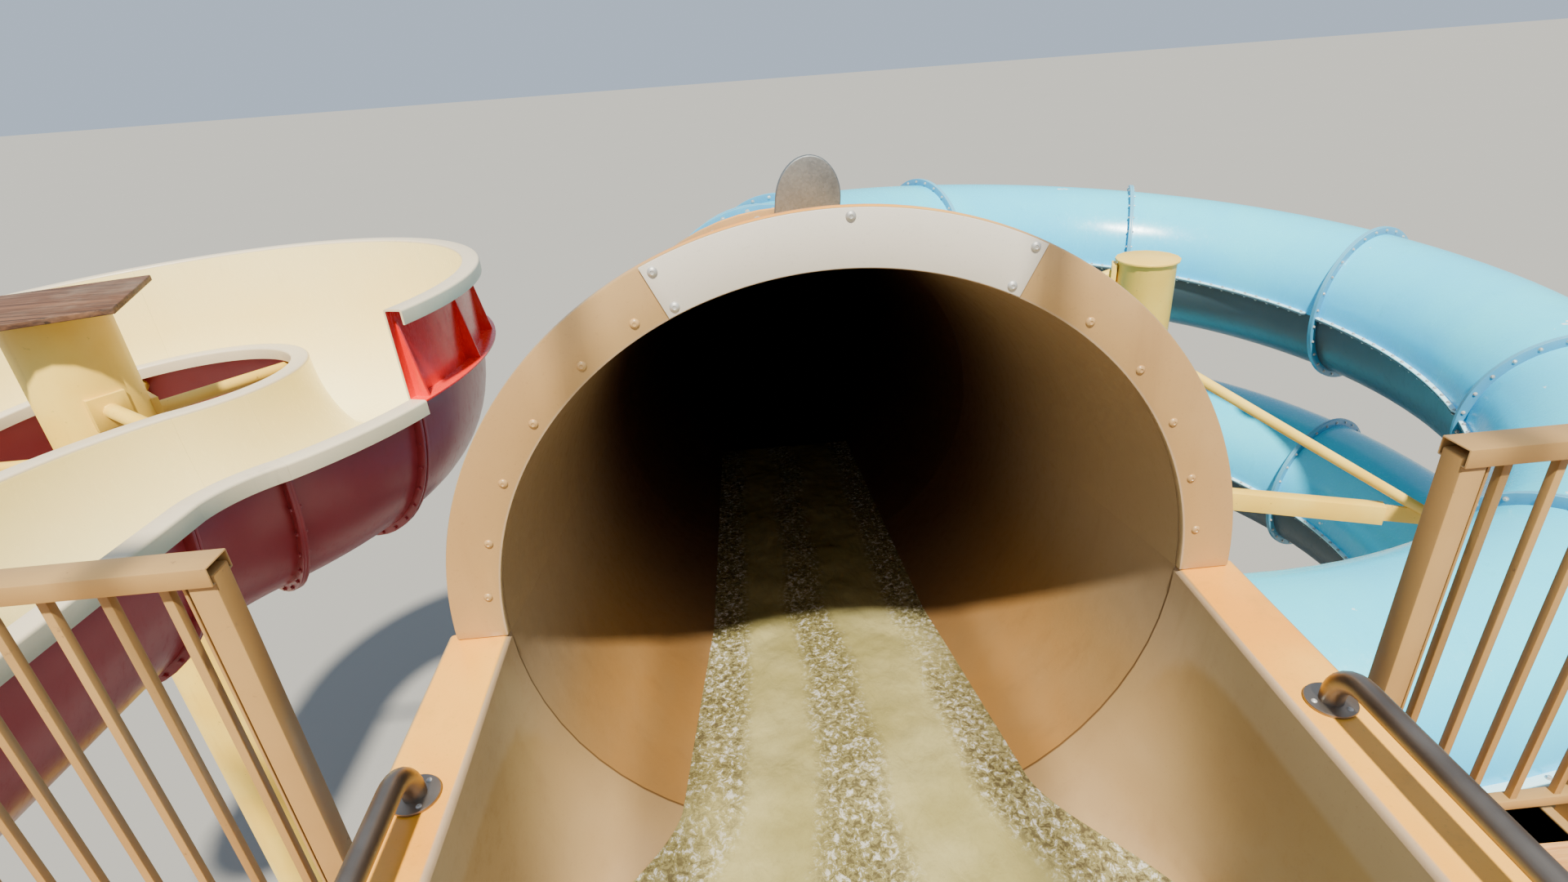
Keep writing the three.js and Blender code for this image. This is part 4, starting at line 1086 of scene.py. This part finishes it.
def flume_flange():
    """The lower half ring of a flume joint, from y = 0."""
    start = WALL / 2
    wire = arc(FLUME_HALF + start, FLUME_DEPTH + start, FLUME_SIDES, -1)
    wider = (FLUME_HALF + FLUME_FLANGE) / (FLUME_HALF + start)
    deeper = (FLUME_DEPTH + FLUME_FLANGE) / (FLUME_DEPTH + start)
    with Edit(wire) as edit:
        edit.pick("EDGE").extrude().resize((wider, 1, deeper))
    return rounded(drawn(wire, (0, FLUME_JOINT, 0)), FLUME_RED, 0.003)


def flume_bolts(bolt):
    count, out = 17, 0.04
    angles = [pi + pi * (i + 0.5) / count for i in range(count)]
    return through(bolt, FLUME_JOINT, [
        offset((FLUME_HALF + out) * cos(a), 0, (FLUME_DEPTH + out) * sin(a)) for a in angles])


def flume_length(run, right_wall, steps, joint, extra=()):
    parts = [paint_rims(flume_trough(run, right_wall, steps), run, right_wall)]
    for s in (0.002, run.length - FLUME_JOINT - 0.002):
        parts += [copy_of(part, run.along(s)) for part in joint]
    return join([*parts, *extra])


def end_wall():
    """Closes the flume's start below the deck."""
    wire = arc(FLUME_HALF + 0.004, FLUME_DEPTH + 0.004, FLUME_SIDES, -1)
    with Edit(wire) as edit:
        edit.pick("EDGE")
        bpy.ops.mesh.bisect(plane_co=(0, 0, DECK - FLUME_START.z), plane_no=(0, 0, 1),
                            clear_outer=True)
        edit.fill()
    return bevel(dress(drawn(wire, (0, FLUME_SKIN, 0)), FLUME_CREAM), 0.003)


def open_flume(bolt):
    steps = [(FLUME_STRAIGHT, 0, FLUME_FALL),
             turned(RIGHT_BEND_RADIUS, RIGHT_BEND_TURN, FLUME_FALL),
             turned(SPIRAL_RADIUS, LOW_TURN, FLUME_FALL)]
    steps += [turned(SPIRAL_RADIUS, TALL_TURN, FLUME_FALL)] * TALL_TURNS
    steps.append((FLUME_RUN_OUT, 0, FLUME_FALL))
    first, right, low, *talls, last = chain(MOUTH + FLUME_START, 0.0, steps)
    painted = dress(copy_of(bolt), FLUME_RED)
    joint = [flume_flange(), flume_bolts(painted)]
    for run, facets, name, node, extra in (
            (first, 2, "start", "start_length", [end_wall()]),
            (right, 12, "right_bend", "right_bend", []),
            (low, 8, "low_turn", "low_turn", []),
            (last, 2, "end", "end_length", [])):
        made = move(flume_length(run, 0, facets, joint, extra), run.matrix())
        deliver(made, f"flume_{name}_piece", "red_shell", f"flume_{node}")
    base = flume_length(talls[0], TALL_WALL, 24, joint, ledge(talls[0]))
    for i, run in enumerate(talls, 1):
        deliver(copy_of(base, run.matrix()), f"flume_tall_{i}", "red_shell", f"flume_tall_turn_{i}")
    discard(base, painted, *joint)


# Railings

def top_rail(length, high, deep):
    """A rectangular tube along x whose ends are open."""
    wall, hollow = 0.004, 0.15
    tube = box(0, length, -deep / 2, deep / 2, RAIL_HEIGHT - high, RAIL_HEIGHT)
    with Edit(tube) as edit:
        edit.pick("FACE", lambda face: abs(face.normal.x) > 0.9)
        bpy.ops.mesh.inset(thickness=wall)
        for direction in (-1, 1):
            edit.pick("FACE", lambda face: face.normal.x * direction > 0.9
                      and face.calc_area() > deep * high / 2)
            edit.extrude((-direction * min(hollow, length / 3), 0, 0))
    return rounded(tube, TAN_STEEL, 0.003, 2, 50)


def railing_panel(length):
    """A railing along +x from 0, standing on z = 0."""
    high, deep, half_post, half_foot, half_picket = 0.038, 0.064, 0.025, 0.050, 0.009
    bay, pitch, picket_foot, in_rail = 1.9, 0.1, 0.09, RAIL_HEIGHT - high / 2

    def upright(edge, x, half_x, half_y, low, top):
        return bar(TAN_STEEL, edge, x - half_x, x + half_x, -half_y, half_y, low, top)
    parts = [top_rail(length, high, deep),
             smooth(bar(TAN_STEEL, 0.003, half_post, length - half_post, -0.015, 0.015,
                        0.075, 0.105))]
    bays = max(1, round(length / bay))
    for i in range(bays + 1):
        x = half_post + (length - 2 * half_post) * i / bays
        parts.append(smooth(upright(0.004, x, half_post, half_post, 0, in_rail)))
        parts.append(upright(0.003, x, half_foot, half_foot, 0, 0.008))
    count = round(length / pitch)
    picket = smooth(upright(0.0025, 0, half_picket, half_picket, picket_foot, in_rail))
    parts.append(spread(picket, [offset(length * i / count, 0, 0) for i in range(1, count)]))
    discard(picket)
    strap_in = 2 * half_post + 0.010
    for x in (strap_in, length - strap_in):
        parts.append(upright(0.0015, x, 0.003, 0.019, picket_foot, in_rail))
    return join(parts)


def railings():
    """Each panel fills its node's box, along x or along y."""
    for name in ("front_left", "front_right", "left", "right", "flume_right", "flume_left",
                 "back_left", "back_middle"):
        low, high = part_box(f"railing_{name}")
        middle = (low + high) / 2
        wide, deep = high.x - low.x, high.y - low.y
        if wide > deep:
            place = offset(low.x, middle.y, low.z)
        else:
            place = offset(middle.x, low.y, low.z) @ rotation(pi / 2, "Z")
        deliver(move(railing_panel(max(wide, deep)), place), f"railing_{name}_panel",
                "tan_steel", f"railing_{name}")


# Timber and steelwork that keeps its solid's outline

def refined(node, name, slot, finish, edge, angle=40):
    """A copy of a solid with merged faces and rounded edges."""
    obj = copy_of(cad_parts[node])
    obj.parent = None
    for key in list(obj.keys()):
        del obj[key]
    with Edit(obj) as edit:
        edit.pick()
        bpy.ops.mesh.remove_doubles(threshold=0.0002)
        bpy.ops.mesh.dissolve_limited(angle_limit=radians(1))
    deliver(rounded(obj, finish, edge, 2, angle), name, slot, node)


def deck_boards():
    """Boards along x on the frame, cut round the posts."""
    low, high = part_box("deck_planks")
    board, half_joint, over = 0.145, 0.003, 0.1
    count = round((high.y - low.y) / board)
    pitch = (high.y - low.y) / count
    rows = [low.y + pitch * i for i in range(count)]
    deck = join([box(low.x, high.x, y + half_joint, y + pitch - half_joint, low.z, high.z)
                 for y in rows])
    clear = POST / 2 + GAP
    for x in POST_XS:
        for y in (FRONT_Y, BACK_Y):
            cutter = box(MOUTH.x + x - clear, MOUTH.x + x + clear, MOUTH.y + y - clear,
                         MOUTH.y + y + clear, low.z - over, high.z + over)
            modify(deck, "BOOLEAN", operation="DIFFERENCE", object=cutter, solver="EXACT")
            discard(cutter)
    deliver(rounded(deck, DECK_BOARD, 0.003), "deck_boards", "deck_timber", "deck_planks")


def timber_bar(start, end, width, thick, face, finish):
    """A sawn timber between two points; width lies in the plane of the face's normal."""
    reach = end - start
    along = reach.normalized()
    across = face.cross(along).normalized()
    piece = bar(finish, 0.004, -width / 2, width / 2, 0, reach.length, -thick / 2, thick / 2)
    turn = Matrix((across, along, across.cross(along))).transposed().to_4x4()
    return move(smooth(piece), offset(*start) @ turn)


def braced_side(name, stops, across, fixed, face, bolt):
    """Crossed diagonals between ties, lapped where they cross, bolted to the posts."""
    wide, thick, lap, bolt_out = 0.160, 0.060, 0.001, 0.04
    low_z, high_z = DECK - DECK_HEIGHT + BRACE_FOOT, DECK - PLANK - JOIST - BRACE_DROP
    levels = [low_z, (low_z + high_z) / 2, high_z]
    finish = BEAM_BROWN_X if across else BEAM_BROWN_Y

    def point(stop, z):
        return Vector((stop, fixed, z) if across else (fixed, stop, z))
    parts = [timber_bar(point(stops[0], z), point(stops[-1], z), wide, thick - 0.004, face, finish)
             for z in levels]
    for a, b in zip(stops, stops[1:]):
        for z0, z1 in zip(levels, levels[1:]):
            for shift, start, end in ((1, z0, z1), (-1, z1, z0)):
                off = face * shift * thick / 4
                parts.append(timber_bar(point(a, start) + off, point(b, end) + off, wide,
                                        thick / 2 - lap, face, finish))
    up = Vector((0, 0, 1))
    upright = face.to_track_quat("Z", "Y").to_matrix().to_4x4()
    ends = []
    for stop in stops:
        for z in levels:
            for out in (-bolt_out, bolt_out):
                at = point(stop, z) + face * (thick / 2 - lap) + face.cross(up) * out + up * out
                ends.append(offset(*at) @ upright)
    parts.append(spread(bolt, ends))
    deliver(move(join(parts), TO_MOUTH), f"{name}_timber", "brown_timber", name)


def bracing(bolt):
    """The four sides: what each one runs between, and where and which way it stands."""
    off = 0.125 + 0.030 + GAP
    sides = {"front": (POST_XS, True, FRONT_Y + off, (0, 1, 0)),
             "back": (POST_XS, True, BACK_Y + off, (0, 1, 0)),
             "left": ([BACK_Y, FRONT_Y], False, POST_XS[0] - off, (-1, 0, 0)),
             "right": ([BACK_Y, FRONT_Y], False, POST_XS[2] + off, (1, 0, 0))}
    for name, (stops, across, fixed, face) in sides.items():
        braced_side(f"brace_{name}", stops, across, fixed, Vector(face), bolt)


def timber_and_steel():
    """Every piece that keeps its solid's outline."""
    for row in ("front", "back"):
        for column in ("left", "middle", "right"):
            node = f"post_{row}_{column}"
            refined(node, f"{node}_timber", "brown_timber", POST_BROWN, 0.012)
    for node, name, finish in (("deck_frame", "deck_beams", BEAM_BROWN_X),
                               ("head_frame", "head_beams", BEAM_BROWN_X),
                               ("landing_frame", "landing_timber", POST_BROWN)):
        refined(node, name, "brown_timber", finish, 0.004)
    refined("stair_landing", "landing_floor", "deck_timber", DECK_BOARD, 0.004)
    for node in ("stair_upper_flight", "stair_lower_flight", "landing_railing"):
        refined(node, f"{node}_steel", "tan_steel", TAN_STEEL, 0.003)

    def cream(node, name, edge=0.004):
        refined(node, name, "cream_steel", CREAM_STEEL, edge, 50)
    cream("coil_column", "coil_column_steel")
    for letter in "abcd":
        cream(f"coil_bracket_{letter}", f"coil_arm_{letter}")
    cream("flume_column", "flume_column_steel")
    refined("flume_column_cap", "flume_cap", "brown_timber", CAP_TIMBER, 0.006)
    for i in range(1, 5):
        cream(f"flume_arm_{i}", f"flume_arm_{i}_steel", 0.003)


# Floor, light and camera

def floor():
    bpy.ops.mesh.primitive_plane_add(size=400, location=(0, 0, -0.001))
    plane = bpy.context.object
    plane.name = "floor"
    f = Finish("floor_pale", Roughness=0.9)
    f.give(Base_Color=f.blend(f.cloud(0.2, 3) * 0.2, "8f8f8c", "868684"))
    dress(plane, f.material)


def aimed(name, data, place, turn, down, roll=0.0):
    """A camera or a lamp that looks so many degrees to the right of +y and down."""
    obj = link(bpy.data.objects.new(name, data))
    obj.matrix_world = (offset(*place) @ rotation(-radians(turn), "Z")
                        @ rotation(radians(90 - down), "X") @ rotation(radians(roll), "Z"))
    return obj


def light():
    world = bpy.data.worlds.new("studio")
    world.use_nodes = True
    sky = world.node_tree.nodes["Background"]
    sky.inputs["Color"].default_value = (0.68, 0.82, 1.0, 1)
    sky.inputs["Strength"].default_value = 0.75
    bpy.context.scene.world = world
    lamp = bpy.data.lights.new("key", "SUN")
    lamp.energy, lamp.angle, lamp.color = 9.8, radians(3), (1.0, 0.92, 0.77)
    aimed("key", lamp, (0, 0, 0), 1, 58)


def camera():
    data = bpy.data.cameras.new("camera")
    data.sensor_width, data.lens = 36, 18.70
    data.clip_start, data.clip_end = 0.05, 500
    bpy.context.scene.camera = aimed("camera", data, MOUTH + EYE, 2.14, 26.30, -4.22)


bolt = hex_bolt()
screw = dome_screw()
tube_slide(bolt)
start_tub()
entry_collar(screw)
sign(screw)
lug(bolt)
grab_rail("left", -1, screw)
grab_rail("right", 1, screw)
water_sheet()
open_flume(bolt)
railings()
deck_boards()
timber_and_steel()
big_bolt = copy_of(bolt, Matrix.Scale(1.7, 4))
bracing(big_bolt)
discard(bolt, big_bolt, screw)
floor()
light()
camera()
